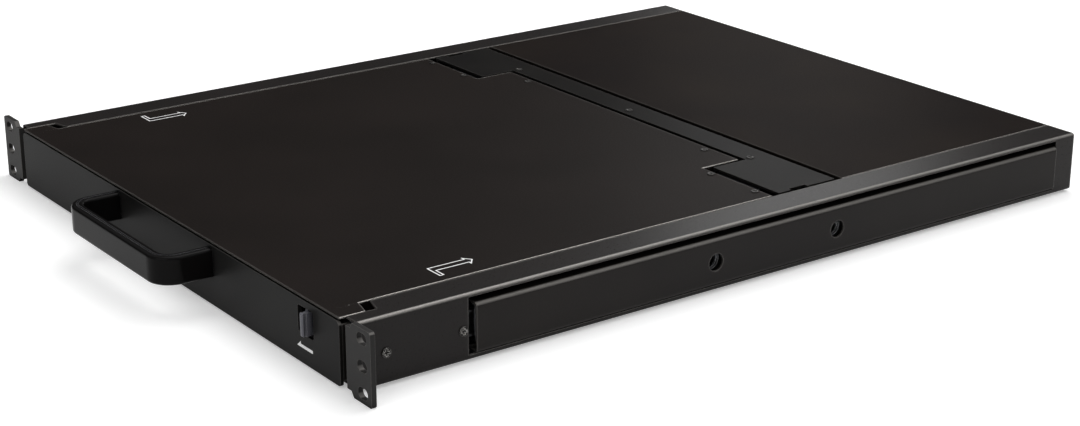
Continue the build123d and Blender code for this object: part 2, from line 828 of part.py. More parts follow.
def drawer_tray():
    tray = block(-tray_half, tray_half, front_sheet, tray_rear, tray_low, tray_wall_top)
    tray -= block(-tray_half + sheet, tray_half - sheet, front_sheet + sheet, tray_rear - sheet,
                  tray_floor, tray_wall_top + 1)
    tray -= block(-tray_half + sheet, tray_half - sheet, tray_rear - sheet - 1, tray_rear + 1,
                  tray_rear_top, tray_wall_top + 1)
    tray -= block(-60, 60, tray_rear - sheet - 1, tray_rear + 1, tray_floor + 6,
                  tray_rear_top - 4)
    for y in inner_screw_ys:
        tray -= rod_x(y, slide_mid_z, screw_radius, -tray_half - 1, tray_half + 1)
    tray -= latch_opening(0.5)
    tray -= block(tray_half - sheet - 1, tray_half + 1, 7.0, 15.5, striker_low - 0.6,
                  tray_wall_top + 1)
    for x, z in handle_screws_xz():
        tray -= rod_y(x, z, 2.1, front_sheet - 1, front_sheet + sheet + 1)
    for x, y in bar_screws_xy:
        post = rod_z(x, y, 2.8, tray_floor, chassis_top - cover_wall)
        tray += post - rod_z(x, y, screw_radius, lid_low, chassis_top)
    for x in latch_screw_xs:
        tray -= rod_y(x, latch_mid_z, 1.5, front_sheet - 1, front_sheet + sheet + 1)
    return tray


def slide_screws():
    screws = []
    for y in inner_screw_ys:
        face = tray_half + member_sheet
        screw = screw_down(0, 0, 0, member_sheet + sheet, 2.8, 1.4, screw_radius)
        right = Pos(face, y, slide_mid_z) * Rot(0, 90, 0) * screw
        screws += [right, flip(right)]
    return screws


# Knob, slide plate and nose in one moulding, which slides to the left to unlock
def latch_slider():
    knob = block(knob_x[0], knob_x[1], -knob_proud, front_sheet + sheet + 0.2, *knob_z)
    front_edges = knob.edges().group_by(Axis.Y)[0]
    knob = fillet(front_edges, knob_width * 0.4)
    for x in knob_x:
        knob -= rod_z(x, knob_groove * 2.2 - knob_proud, knob_groove, knob_z[0] - 1, knob_z[1] + 1)
    back = front_sheet + sheet + 0.2
    nose_x = tray_half + 2.3
    arm_x = lid_half + latch_travel + 0.9
    plate = block(knob_x[0] - 8, tray_half - sheet - 0.6, back, back + latch_sheet,
                  latch_mid_z - 4.5, latch_mid_z + 4.5)
    low = striker_low
    high = tray_wall_top - 0.3
    arm = block(arm_x, tray_half - sheet - 0.6, back, 14.0, low, high)
    arm += block(arm_x, tray_half - sheet - 0.6, back, back + latch_sheet, latch_mid_z, high)
    nose = block(arm_x, nose_x, 8.0, 14.0, low, high)
    nose = chamfer(nose.edges().filter_by(Axis.Z).group_by(Axis.X)[-1].sort_by(Axis.Y)[0], 1.2)
    slider = knob + plate + arm + nose
    for x in latch_screw_xs:
        slot = Pos(x + latch_travel / 2, latch_mid_z) * SlotOverall(latch_travel + 3.6, 3.4)
        slider -= along_y(slot, back - 1, back + latch_sheet + 1)
    return slider


def latch_screws():
    screws = []
    back = front_sheet + sheet
    for x in latch_screw_xs:
        shank = rod_y(x, latch_mid_z, 1.5, front_sheet, back + 0.2 + latch_sheet + 0.2)
        head_y = back + latch_sheet + 0.4
        screws.append(shank + rod_y(x, latch_mid_z, 2.8, head_y, head_y + 0.9))
    return screws


def lid_plan(inset):
    plan = rect(-lid_half + inset, lid_half - inset, lid_body_front + inset, lid_rear - inset)
    for side in (-1, 1):
        x0, x1 = sorted((side * (cut_inner - inset), side * (lid_half + 5)))
        plan -= rect(x0, x1, cut_front - inset, lid_rear + 5)
    return plan


def lid_cover():
    shell = along_z(lid_plan(0), lid_wall_low, chassis_top)
    shell -= along_z(lid_plan(sheet), lid_wall_low - 1, lid_under)
    strip = make_face(Polyline(
        (-lid_strip_half, lid_front), (lid_strip_half, lid_front),
        (lid_strip_half, lid_strip_rear), (lid_half, lid_strip_rear + lid_strip_slant),
        (-lid_half, lid_strip_rear + lid_strip_slant), (-lid_strip_half, lid_strip_rear),
        close=True))
    strip = fillet([v for v in strip.vertices() if abs(v.X) > lid_half + 1], 1.2)
    cover = shell + along_z(strip, chassis_top - lid_strip_sheet, chassis_top)
    for side in (-1, 1):
        for x, y in lid_screws_xy:
            cover -= rod_z(side * x, y, screw_radius + 0.1, lid_under - 1, chassis_top + 1)
        x0, x1 = sorted((side * (cut_inner - sheet - 1), side * (cut_inner + 1)))
        cover -= rod_x(hinge_y, hinge_z, shaft_radius + 0.4, x0, x1)
    return cover


def display_bezel():
    plan = lid_plan(0) - rect(-screen_width / 2, screen_width / 2, screen_front, screen_rear)
    bezel = along_z(plan, lid_low, lid_wall_low)
    inner = bezel.edges().group_by(Axis.Z)[0]
    inner = [e for e in inner if abs(e.center().X) <= screen_width / 2 + 0.01
             and screen_front - 0.01 <= e.center().Y <= screen_rear + 0.01
             and (abs(e.center().X) > 1 or e.length > screen_width - 1)]
    bezel = chamfer(inner, bezel_sheet * 0.6)
    for x in menu_button_xs:
        bezel -= rod_z(x, menu_button_y, menu_radius + 0.3, lid_low - 1, lid_wall_low + 1)
    return bezel


def menu_button(x):
    y = menu_button_y
    button = rod_z(x, y, menu_radius, lid_low - 1.2, lid_wall_low + 0.1)
    button = fillet(button.edges().group_by(Axis.Z)[0], 0.5)
    return button + rod_z(x, y, menu_radius + menu_rim, lid_wall_low + 0.1, lid_wall_low + 1.1)


def menu_board():
    low = lid_wall_low + 2.0
    x0 = menu_button_xs[0] - 14
    x1 = menu_button_xs[-1] + 14
    y = menu_button_y
    board = block(x0, x1, y - 9, y + 9, low, low + board_sheet)
    for x in (x0 + 4, x1 - 4):
        board += rod_z(x, y, 2.5, low + board_sheet, lid_under)
    return board


def glass_box(grow):
    half = screen_width / 2 + 2 + grow
    return -half, half, screen_front - 2 - grow, screen_rear + 2 + grow


def lcd_glass():
    return block(*glass_box(0), glass_low, glass_low + glass_thickness)


def backlight_frame():
    half = screen_width / 2 + panel_border_x
    high = glass_low + glass_thickness + backlight_depth
    frame = block(-half, half, screen_front - panel_border_y, screen_rear + panel_border_y,
                  glass_low, high)
    return frame - block(*glass_box(0.2), glass_low - 1, glass_low + glass_thickness)


def display_bracket():
    x0 = screen_width / 2 + panel_border_x
    rail = block(x0, x0 + 2, screen_front + 2, screen_rear - 4, glass_low + 0.5, lid_under)
    rail += block(x0, lid_half - sheet - 3, screen_front + 2, screen_rear - 4, lid_under - 1.5,
                  lid_under)
    return rail


def display_board():
    low = glass_low + glass_thickness + backlight_depth + 1.2
    y0 = screen_front + 92
    board = block(-60, 60, y0, y0 + 80, low, low + board_sheet)
    for x, y, width, depth in ((-45, 20, 18, 18), (-10, 30, 24, 16), (30, 10, 14, 30)):
        board += block(x, x + width, y0 + y, y0 + y + depth, low + board_sheet,
                       low + board_sheet + 0.9)
    for x in (-54, 54):
        for y in (y0 + 6, y0 + 74):
            board += rod_z(x, y, 2.5, low - 1.2, low)
    return board


# Right hinge leaf, screwed under the lid's top sheet at three places
def hinge_leaf():
    leaf_low = lid_under - 2.0
    y0 = screen_rear + panel_border_y + 1.0
    tail_x = cut_inner - 33
    leaf = block(tail_x, lid_screws_xy[2][0] + 6, y0, cut_front - sheet - 0.3, leaf_low, lid_under)
    leaf += block(tail_x, knuckle_outer, y0, lid_rear - sheet - 0.8, leaf_low, lid_under)
    leaf += rod_x(hinge_y, hinge_z, knuckle_radius, knuckle_inner, knuckle_outer)
    leaf += block(knuckle_inner, knuckle_outer, hinge_y - 4, hinge_y + 4, hinge_z, lid_under)
    leaf -= rod_x(hinge_y, hinge_z, shaft_radius + 0.02, knuckle_inner - 1, knuckle_outer + 1)
    for x, y in lid_screws_xy:
        leaf -= rod_z(x, y, screw_radius, leaf_low - 1, lid_under + 1)
    return leaf


def hinge_shaft():
    return rod_x(hinge_y, hinge_z, shaft_radius, knuckle_inner, barrel_start + barrel_length - 2)


# Right friction hinge barrel on its pedestal, inside the foot
def hinge_housing():
    x0 = barrel_start
    x1 = x0 + barrel_length
    barrel = rod_x(hinge_y, hinge_z, barrel_radius, x0, x1)
    barrel += block(x0 + 2, x1 - 2, hinge_y - 5, bar_front - 7, deck_top, hinge_z)
    barrel += block(x0 - 0.3, x1 + 14, hinge_y - 5, bar_front - 7, deck_top, deck_top + 2.5)
    return barrel - rod_x(hinge_y, hinge_z, shaft_radius + shaft_clearance, x0 - 1, x1 - 1.5)


def lid_screws():
    screws = []
    for x, y in lid_screws_xy:
        right = screw_down(x, y, chassis_top, lid_top_sheet + 2, screw_head_radius,
                           screw_head_height, screw_radius)
        screws += [right, flip(right)]
    return screws


def bar_screws():
    return [screw_down(x, y, chassis_top, 8, screw_head_radius, screw_head_height, screw_radius)
            for x, y in bar_screws_xy]


def cover_plan(inset):
    plan = rect(-foot_outer + inset, foot_outer - inset, bar_front + inset, bar_rear - inset)
    for side in (-1, 1):
        x0, x1 = sorted((side * (foot_inner + inset), side * (foot_outer - inset)))
        plan += rect(x0, x1, foot_front + inset, bar_rear - inset)
    return plan


# Fixed cover over the hinge line: a long bar with a foot over each hinge
def hinge_cover():
    cover = along_z(cover_plan(0), deck_top, chassis_top)
    cover -= along_z(cover_plan(cover_wall), deck_top - 1, chassis_top - cover_wall)
    cover += block(-foot_inner + 1, foot_inner - 1, bar_front, bar_front + cover_wall,
                   well_floor, deck_top)
    notch_x, notch_length = foot_notch
    notch_y = bar_front - cover_wall - 2
    for side in (-1, 1):
        x0, x1 = sorted((side * (foot_inner + cover_wall), side * (foot_outer - cover_wall)))
        cover -= block(x0, x1, foot_front - 1, foot_front + cover_wall + 0.5, deck_top - 1,
                       chassis_top - cover_wall)
        x0, x1 = sorted((side * (foot_inner - 1), side * (foot_inner + cover_wall + 0.2)))
        cover -= rod_x(hinge_y, hinge_z, shaft_radius + 0.5, x0, x1)
        cover -= block(x0, x1, hinge_y - shaft_radius - 0.5, hinge_y + shaft_radius + 0.5,
                       deck_top - 1, hinge_z)
        x0, x1 = sorted((side * (foot_outer - notch_x), side * (foot_outer + 1)))
        cover -= block(x0, x1, notch_y - notch_length, notch_y, chassis_top - 3, chassis_top + 1)
    for x, y in bar_screws_xy:
        cover -= rod_z(x, y, screw_radius + 0.1, chassis_top - cover_wall - 1, chassis_top + 1)
    return cover


# Key widths row by row from the function row forwards, in key pitches; a minus is a gap
main_rows = (
    [1, -0.5, 1, 1, 1, 1, -0.25, 1, 1, 1, 1, -0.25, 1, 1, 1, 1, 1],
    [1] * 13 + [2],
    [1.5] + [1] * 12 + [1.5],
    [1.75] + [1] * 11 + [2.25],
    [2.25] + [1] * 10 + [1.75, 1],
    [1.25, 1.25, 1.25, 5.25, 1, 1, 1, 1, 1, 1],
)
pad_rows = ([1] * 4, [1] * 4, [1] * 4, [1] * 4, [1] * 4, [2, 1, 1])


def row_keys(row, x, y, name_key):
    keys = []
    for number, width in enumerate(row):
        if width > 0:
            keys.append((name_key(number, width), x + width * key_pitch / 2, y, width))
        x += abs(width) * key_pitch
    return keys


# Every key as its group, middle in X, middle in Y and width in pitches
def key_places():
    main_width = 15 * key_pitch
    start = -(main_width + pad_gap + 4 * key_pitch) / 2
    places = []
    for number in range(len(main_rows)):
        y = keyboard_front + (len(main_rows) - 0.5 - number) * key_pitch
        row = main_rows[number]

        def main_group(index, width, number=number, row=row):
            if number == 0:
                return "function"
            if width > 5:
                return "space"
            if (number == 5 and index >= len(row) - 3) or (number == 4 and index == len(row) - 1):
                return "navigation"
            return "main"

        def pad_group(index, width, number=number):
            return "navigation" if number == 0 else "number"

        places += row_keys(row, start, y, main_group)
        places += row_keys(pad_rows[number], start + main_width + pad_gap, y, pad_group)
    return places


def key_size(width):
    return width * key_pitch - key_gap, key_pitch - key_gap


def key_cap(width):
    across, deep = key_size(width)
    base = RectangleRounded(across, deep, 1.5)
    cap = extrude(Plane.XY.offset(key_low) * base, key_top - key_low, taper=12)
    dish = Pos(0, 0, key_top + 30 - 0.6) * Rot(90, 0, 0) * Cylinder(30, across + deep)
    if width < 2.5:
        cap -= dish
    return cap + rod_z(0, 0, stem_radius, stem_low, key_low)


def key_group(group):
    caps = {}
    keys = []
    for name, x, y, width in key_places():
        if name == group:
            if width not in caps:
                caps[width] = key_cap(width)
            keys.append(Pos(x, y, 0) * caps[width])
    return keys


def key_plate():
    places = key_places()
    xs = [x for _, x, _, _ in places]
    y0 = keyboard_front
    y1 = keyboard_front + len(main_rows) * key_pitch
    x0 = min(xs) - key_pitch / 2
    x1 = max(xs) + key_pitch / 2
    plate = block(x0, x1, y0, y1, plate_top - sheet, plate_top)
    sleeves = Sketch() + [Pos(x, y) * Circle(stem_radius + stem_clearance + 1.2)
                          for _, x, y, _ in places]
    sleeves -= [Pos(x, y) * Circle(stem_radius + stem_clearance) for _, x, y, _ in places]
    plate += along_z(sleeves, plate_top, sleeve_top)
    for x in (x0 + 4, 0, x1 - 4):
        for y in (y0 + 4, y1 - 4):
            plate += rod_z(x, y, 3.5, tray_floor, plate_top - sheet)
    return plate


def deck_openings():
    cuts = []
    for _, x, y, width in key_places():
        across, deep = key_size(width)
        cuts.append(Pos(x, y) * RectangleRounded(across + 2 * key_clearance,
                                                 deep + 2 * key_clearance, 1.8))
    cuts.append(rect(-pad_half - 0.3, pad_half + 0.3, pad_front - 0.3, pad_rear + 0.3, 2.0))
    for x0, x1 in pad_button_xs:
        cuts.append(rect(x0 - 0.3, x1 + 0.3, pad_button_front - 0.3,
                         pad_button_front + pad_button_depth + 0.3))
    for side in (-1, 1):
        x0, x1 = sorted((side * (release_x - release_slot_half),
                         side * (release_x + release_slot_half)))
        cuts.append(rect(x0, x1, release_y - 6.3, release_y + 6.3 + release_travel))
    return cuts


def keyboard_deck():
    plan = rect(-deck_half, deck_half, deck_front, deck_rear)
    plan -= rect(-foot_inner + 0.8, foot_inner - 0.8, well_front, deck_rear + 1)
    plan -= deck_openings()
    deck = along_z(plan, deck_low, deck_top)
    well_half = foot_inner - 0.8
    pan = block(-well_half - deck_sheet, well_half + deck_sheet, well_front - deck_sheet,
                deck_rear, well_floor - deck_sheet, deck_top)
    pan -= block(-well_half, well_half, well_front, deck_rear + 1, well_floor, deck_top + 1)
    deck += pan
    for side in (-1, 1):
        x0, x1 = sorted((side * (deck_half - sheet), side * deck_half))
        deck += block(x0, x1, deck_front, deck_rear, tray_floor, deck_low)
    deck += block(-deck_half, deck_half, deck_front, deck_front + sheet, tray_floor, deck_low)
    return deck


def touchpad():
    board_low_z = deck_low - 2.7
    y0 = pad_button_front - 4
    pad = block(-pad_half, pad_half, pad_front, pad_rear, deck_low - 1.5, deck_top + 0.3)
    pad = fillet(pad.edges().filter_by(Axis.Z), 1.8)
    pad += block(-pad_half - 7, pad_half + 7, y0, pad_rear + 4, board_low_z, deck_low - 1.5)
    for side in (-1, 1):
        x0, x1 = sorted((side * (pad_half + 3), side * (pad_half + 7)))
        pad += block(x0, x1, y0, pad_rear + 4, deck_low - 1.5, deck_low)
    return pad


def pad_button(span):
    button = block(span[0], span[1], pad_button_front, pad_button_front + pad_button_depth,
                   deck_low - 0.6, deck_top + 1.0)
    return fillet(button.edges().group_by(Axis.Z)[-1], 0.6)


# Right slide release: a ribbed tab on the deck, with a foot below it
def slide_release():
    x = release_x
    y = release_y
    half = release_half
    tab = block(x - half, x + half, y - 9, y + 9, deck_top + 0.05, deck_top + 7)
    tab = fillet(tab.edges().group_by(Axis.Z)[-1], 1.0)
    for number in range(5):
        rib_y = y - 6 + number * 3
        tab -= block(x - 4, x + 4, rib_y - 0.5, rib_y + 0.5, deck_top + 6.3, deck_top + 8)
    tab += block(x - 1.5, x + 1.5, y - 6, y + 6, deck_low - 0.1, deck_top + 0.05)
    return tab + block(x - half, x + half, y - 8, y + 8, deck_low - 1.4, deck_low - 0.1)


def lid_bumpers():
    bumpers = []
    for x in (-lid_half + 8, lid_half - 8):
        for y in (lid_body_front + 14, cut_front - 22):
            bumper = rod_z(x, y, 3.5, deck_top, lid_low - 0.05)
            bumpers.append(fillet(bumper.edges().group_by(Axis.Z)[-1], 0.8))
    return bumpers


def main():
    save("chassis_base", chassis_base())
    save("rear_cover", rear_cover())
    save("rear_panel", rear_panel())
    save("rear_screws", *rear_screws())
    save_pair("rack_ear", rack_ear())
    save("ear_screws", *ear_screws())
    save("base_screws", *base_screws())
    save("latch_striker", latch_striker())
    save("power_inlet", power_inlet())
    save("switch_frame", switch_frame())
    save("switch_rocker", switch_rocker())
    save("video_port", video_port())
    save("usb_port", usb_port())
    save("interface_board", interface_board())
    save("board_standoffs", *board_standoffs())
    save("power_supply", power_supply())
    save("supply_board", supply_board())

    save_pair("slide_outer", slide_outer())
    save("slide_spacers", slide_spacer(), flip(slide_spacer()))
    save("slide_middles", slide_middle(), flip(slide_middle()))
    save("slide_inners", slide_inner(), flip(slide_inner()))
    outer_balls = outer_cage()
    inner_balls = inner_cage()
    save("outer_ball_cages", *outer_balls, *[flip(part) for part in outer_balls])
    save("inner_ball_cages", *inner_balls, *[flip(part) for part in inner_balls])
    save("slide_screws", *slide_screws())

    save("drawer_tray", drawer_tray())
    save("front_panel", front_panel())
    save("handle", handle())
    save("handle_screws", *handle_screws())
    save("latch_slider", latch_slider())
    save("latch_screws", *latch_screws())
    save("keyboard_deck", keyboard_deck())
    save("key_plate", key_plate())
    for group in ("function", "main", "navigation", "number"):
        save(group + "_keys", *key_group(group))
    save("space_key", *key_group("space"))
    save("touchpad", touchpad())
    left_span, right_span = pad_button_xs
    save("pad_button_left", pad_button(left_span))
    save("pad_button_right", pad_button(right_span))
    save_pair("slide_release", slide_release())
    save("lid_bumpers", *lid_bumpers())
    save("hinge_cover", hinge_cover())
    save("hinge_cover_screws", *bar_screws())
    save("hinge_housings", hinge_housing(), flip(hinge_housing()))

    save("lid_cover", lid_cover())
    save("display_bezel", display_bezel())
    save("lcd_glass", lcd_glass())
    save("backlight_frame", backlight_frame())
    save("display_brackets", display_bracket(), flip(display_bracket()))
    save("display_boards", display_board(), menu_board())
    save("hinge_leaves", hinge_leaf(), flip(hinge_leaf()))
    save("hinge_shafts", hinge_shaft(), flip(hinge_shaft()))
    save("lid_screws", *lid_screws())
    for number, x in enumerate(menu_button_xs, 1):
        save(f"menu_button_{number}", menu_button(x))


main()
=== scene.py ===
import bpy
import math
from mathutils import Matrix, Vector


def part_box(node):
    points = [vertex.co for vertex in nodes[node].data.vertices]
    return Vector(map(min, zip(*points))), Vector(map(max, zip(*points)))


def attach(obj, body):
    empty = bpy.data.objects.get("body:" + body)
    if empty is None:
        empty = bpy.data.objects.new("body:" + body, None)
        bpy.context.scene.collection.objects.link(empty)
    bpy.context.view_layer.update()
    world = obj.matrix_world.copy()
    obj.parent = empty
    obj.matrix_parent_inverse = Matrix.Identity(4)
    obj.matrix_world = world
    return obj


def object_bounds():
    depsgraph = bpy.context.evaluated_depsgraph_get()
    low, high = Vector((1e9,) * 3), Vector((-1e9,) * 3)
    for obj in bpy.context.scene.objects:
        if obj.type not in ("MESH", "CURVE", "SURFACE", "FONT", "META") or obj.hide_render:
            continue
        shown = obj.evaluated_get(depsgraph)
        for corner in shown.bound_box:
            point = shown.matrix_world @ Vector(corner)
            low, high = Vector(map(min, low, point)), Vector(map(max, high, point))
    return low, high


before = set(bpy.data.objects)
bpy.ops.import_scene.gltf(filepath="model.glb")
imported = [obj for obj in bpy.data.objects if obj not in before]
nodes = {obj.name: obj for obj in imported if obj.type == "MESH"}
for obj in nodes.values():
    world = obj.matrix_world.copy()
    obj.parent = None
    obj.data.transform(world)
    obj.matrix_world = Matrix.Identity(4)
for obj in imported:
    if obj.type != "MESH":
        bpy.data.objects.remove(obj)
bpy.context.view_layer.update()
mm = 0.001
print("console drawer: frame loaded")


# The painted shade colour that a narrow gap falls to, and the middle part of a noise's range, spread out
# to the whole
paintedGapShadeColour = "#040404"
noiseSpan = {"From Min": 0.3, "From Max": 0.7}


def toLinear(hexCode):
    values = [int(hexCode[i:i + 2], 16) / 255 for i in (1, 3, 5)]
    return tuple(v / 12.92 if v <= 0.04045 else ((v + 0.055) / 1.055) ** 2.4 for v in values) + (1,)


def repeats(sizeMm):  # how often a pattern of this size fits in a metre
    return 1 / (sizeMm * mm)


def addNode(tree, kind, settings=None, links=None):
    node = tree.nodes.new(kind)
    for name, value in (settings or {}).items():
        if isinstance(name, int) or name in node.inputs:
            node.inputs[name].default_value = value
        else:
            setattr(node, name, value)
    for name, source in (links or {}).items():
        tree.links.new(source, node.inputs[name])
    return node


def startMaterial(name, settings):
    material = bpy.data.materials.new(name)
    material.use_nodes = True
    tree = material.node_tree
    tree.nodes.clear()
    shader = addNode(tree, "ShaderNodeBsdfPrincipled", settings)
    addNode(tree, "ShaderNodeOutputMaterial", links={"Surface": shader.outputs["BSDF"]})
    place = addNode(tree, "ShaderNodeTexCoord").outputs["Object"]
    return material, tree, shader, place


# Rounded edge normals, and a mask that is 1 on the edge itself
def edgeOf(tree, radiusMm):
    rounded = addNode(tree, "ShaderNodeBevel", {"samples": 4, "Radius": radiusMm * mm}).outputs["Normal"]
    flat = addNode(tree, "ShaderNodeNewGeometry").outputs["Normal"]
    same = addNode(tree, "ShaderNodeVectorMath", {"operation": "DOT_PRODUCT"}, {0: rounded, 1: flat})
    edge = addNode(tree, "ShaderNodeMapRange",
                   {"From Min": 0.90, "From Max": 0.995, "To Min": 1.0, "To Max": 0.0},
                   {"Value": same.outputs["Value"]})
    return rounded, edge.outputs["Result"]


# 1 on the folds and edges that turn from the top to a side, where a highlight is painted on
def sideFoldHighlightMask(tree, rounded):
    parts = addNode(tree, "ShaderNodeSeparateXYZ", links={"Vector": rounded}).outputs
    aside = addNode(tree, "ShaderNodeMath", {"operation": "ABSOLUTE"}, {0: parts["X"]}).outputs[0]
    outward = addNode(tree, "ShaderNodeMapRange", {"From Min": 0.12, "From Max": 0.3}, {"Value": aside})
    upward = addNode(tree, "ShaderNodeMapRange", {"From Min": 0.3, "From Max": 0.5}, {"Value": parts["Z"]})
    return addNode(tree, "ShaderNodeMath", {"operation": "MULTIPLY"},
                   {0: outward.outputs["Result"], 1: upward.outputs["Result"]}).outputs[0]


# Two shades of one colour, drifting into each other with a noise
def cloudedColour(tree, noise, finish):
    share = addNode(tree, "ShaderNodeMapRange", noiseSpan, {"Value": noise}).outputs["Result"]
    shades = {"data_type": "RGBA", 6: toLinear(finish["dark"]), 7: toLinear(finish["light"])}
    return addNode(tree, "ShaderNodeMix", shades, {0: share}).outputs[2]


# Roughness and a fine relief that follow the same grain
def addGrain(tree, shader, finish, grain, rounded):
    rough, step = finish["rough"], finish["roughStep"]
    spread = addNode(tree, "ShaderNodeMapRange", {**noiseSpan, "To Min": rough - step,
                                                  "To Max": rough + step},
                     {"Value": grain})
    tree.links.new(spread.outputs["Result"], shader.inputs["Roughness"])
    bump = addNode(tree, "ShaderNodeBump", {"Strength": finish["bump"], "Distance": finish["bumpMm"] * mm},
                   {"Height": grain, "Normal": rounded})
    tree.links.new(bump.outputs["Normal"], shader.inputs["Normal"])


# Painted shade: where ambient occlusion finds the ground closed in, the colour falls to near black and the
# shine to nothing
def paintGapShade(tree, shader, finish, colour):
    seen = addNode(tree, "ShaderNodeAmbientOcclusion", {"samples": 4, "Distance": finish["gapMm"] * mm})
    clear = addNode(tree, "ShaderNodeMapRange", {"From Min": 0.3, "From Max": 0.8},
                    {"Value": seen.outputs["AO"]}).outputs["Result"]
    shown = addNode(tree, "ShaderNodeMix", {"data_type": "RGBA", 6: toLinear(paintedGapShadeColour)},
                    {0: clear, 7: colour})
    tree.links.new(shown.outputs[2], shader.inputs["Base Color"])
    shine = addNode(tree, "ShaderNodeMath", {"operation": "MULTIPLY", 1: finish["shine"]}, {0: clear})
    tree.links.new(shine.outputs[0], shader.inputs["Specular IOR Level"])


# Polyester powder coat, sprayed and baked: a fine orange peel that breaks the shine up
def powderCoat(name, finish):
    material, tree, shader, place = startMaterial(name, {})
    clouds = addNode(tree, "ShaderNodeTexNoise", {"Scale": repeats(finish["cloudMm"]), "Detail": 2.0},
                     {"Vector": place}).outputs["Fac"]
    grain = addNode(tree, "ShaderNodeTexNoise", {"Scale": repeats(finish["grainMm"]), "Detail": 3.0},
                    {"Vector": place}).outputs["Fac"]
    flecks = addNode(tree, "ShaderNodeMapRange", {"From Min": 0.56, "From Max": 0.72,
                                                  "To Max": finish["fleck"]},
                     {"Value": grain}).outputs["Result"]
    speckled = addNode(tree, "ShaderNodeMix", {"data_type": "RGBA", 7: toLinear(finish["fleckColour"])},
                       {0: flecks, 6: cloudedColour(tree, clouds, finish)}).outputs[2]
    # Painted highlights: a light colour laid on the edges and on the folds from the top to a side, and the
    # folds made metallic there, so that they show bright lines
    rounded, edge = edgeOf(tree, finish["edgeMm"])
    paintedEdgeHighlight = addNode(tree, "ShaderNodeMath", {"operation": "MULTIPLY", 1: finish["edgeHighlightShare"]}, {0: edge})
    paintedFoldHighlight = addNode(tree, "ShaderNodeMath", {"operation": "MULTIPLY", 1: finish["foldHighlightShare"]},
                     {0: sideFoldHighlightMask(tree, rounded)})
    paintedHighlight = addNode(tree, "ShaderNodeMath", {"operation": "MAXIMUM"},
                   {0: paintedEdgeHighlight.outputs[0], 1: paintedFoldHighlight.outputs[0]})
    coatWithHighlights = addNode(tree, "ShaderNodeMix", {"data_type": "RGBA", 7: toLinear(finish["edgeHighlightColour"])},
                     {0: paintedHighlight.outputs[0], 6: speckled})
    tree.links.new(paintedFoldHighlight.outputs[0], shader.inputs["Metallic"])
    # Painted shade in narrow gaps
    paintGapShade(tree, shader, finish, coatWithHighlights.outputs[2])
    addGrain(tree, shader, finish, grain, rounded)
    return material


# Injection moulded plastic: spark eroded texture from the mould, soft edges
def mouldedPlastic(name, finish):
    material, tree, shader, place = startMaterial(name, {"IOR": 1.53})
    flow = addNode(tree, "ShaderNodeTexNoise", {"Scale": repeats(finish["flowMm"]), "Detail": 1.0},
                   {"Vector": place}).outputs["Fac"]
    grain = addNode(tree, "ShaderNodeTexNoise", {"Scale": repeats(finish["grainMm"]), "Detail": 2.0},
                    {"Vector": place}).outputs["Fac"]
    # Painted highlight: a lighter colour laid on the edges
    rounded, edge = edgeOf(tree, finish["edgeMm"])
    paintedEdgeHighlight = addNode(tree, "ShaderNodeMath", {"operation": "MULTIPLY", 1: finish["edgeHighlightShare"]}, {0: edge})
    moulding = addNode(tree, "ShaderNodeMix", {"data_type": "RGBA", 7: toLinear(finish["edgeHighlightColour"])},
                       {0: paintedEdgeHighlight.outputs[0], 6: cloudedColour(tree, flow, finish)})
    # Painted shade in narrow gaps
    paintGapShade(tree, shader, finish, moulding.outputs[2])
    addGrain(tree, shader, finish, grain, rounded)
    return material


# Rolled, ground or plated steel: fine lines along the way it was worked
def workedSteel(name, finish):
    material, tree, shader, place = startMaterial(name, {"Metallic": 1.0})
    along = addNode(tree, "ShaderNodeMapping", {"Scale": finish["stretch"]},
                    {"Vector": place}).outputs["Vector"]
    lines = addNode(tree, "ShaderNodeTexNoise", {"Scale": repeats(finish["lineMm"]), "Detail": 3.0},
                    {"Vector": along}).outputs["Fac"]
    stains = addNode(tree, "ShaderNodeTexNoise", {"Scale": repeats(finish["stainMm"]), "Detail": 2.0},
                     {"Vector": place}).outputs["Fac"]
    scored = addNode(tree, "ShaderNodeMapRange", {"From Min": 0.45, "From Max": 0.7, "To Max": 0.35},
                     {"Value": lines}).outputs["Result"]
    lined = addNode(tree, "ShaderNodeMix", {"data_type": "RGBA", 7: toLinear(finish["lineColour"])},
                    {0: scored, 6: cloudedColour(tree, stains, finish)}).outputs[2]
    # Painted highlight: a lighter colour laid on the edges
    rounded, edge = edgeOf(tree, finish["edgeMm"])
    bright = addNode(tree, "ShaderNodeMath", {"operation": "MULTIPLY", 1: finish["edgeBright"]}, {0: edge})
    metal = addNode(tree, "ShaderNodeMix", {"data_type": "RGBA", 7: toLinear(finish["edgeHighlightColour"])},
                    {0: bright.outputs[0], 6: lined})
    tree.links.new(metal.outputs[2], shader.inputs["Base Color"])
    addGrain(tree, shader, finish, lines, rounded)
    return material


# Hot dip zinc sheet: large crystals that each catch the light their own way
def spangledZinc(name, finish):
    material, tree, shader, place = startMaterial(name, {"Metallic": 1.0})
    crystals = addNode(tree, "ShaderNodeTexVoronoi", {"Scale": repeats(finish["crystalMm"])},
                       {"Vector": place})
    shade = addNode(tree, "ShaderNodeSeparateColor", links={"Color": crystals.outputs["Color"]}).outputs[0]
    sheet = addNode(tree, "ShaderNodeMix",
                    {"data_type": "RGBA", 6: toLinear(finish["dark"]),
                     7: toLinear(finish["light"])}, {0: shade})
    # Painted highlight: a lighter colour laid on the edges
    rounded, edge = edgeOf(tree, finish["edgeMm"])
    metal = addNode(tree, "ShaderNodeMix", {"data_type": "RGBA", 7: toLinear(finish["edgeHighlightColour"])},
                    {0: edge, 6: sheet.outputs[2]})
    rough = addNode(tree, "ShaderNodeMapRange", {"To Min": 0.28, "To Max": 0.5}, {"Value": shade})
    tree.links.new(metal.outputs[2], shader.inputs["Base Color"])
    tree.links.new(rough.outputs["Result"], shader.inputs["Roughness"])
    tree.links.new(rounded, shader.inputs["Normal"])
    return material


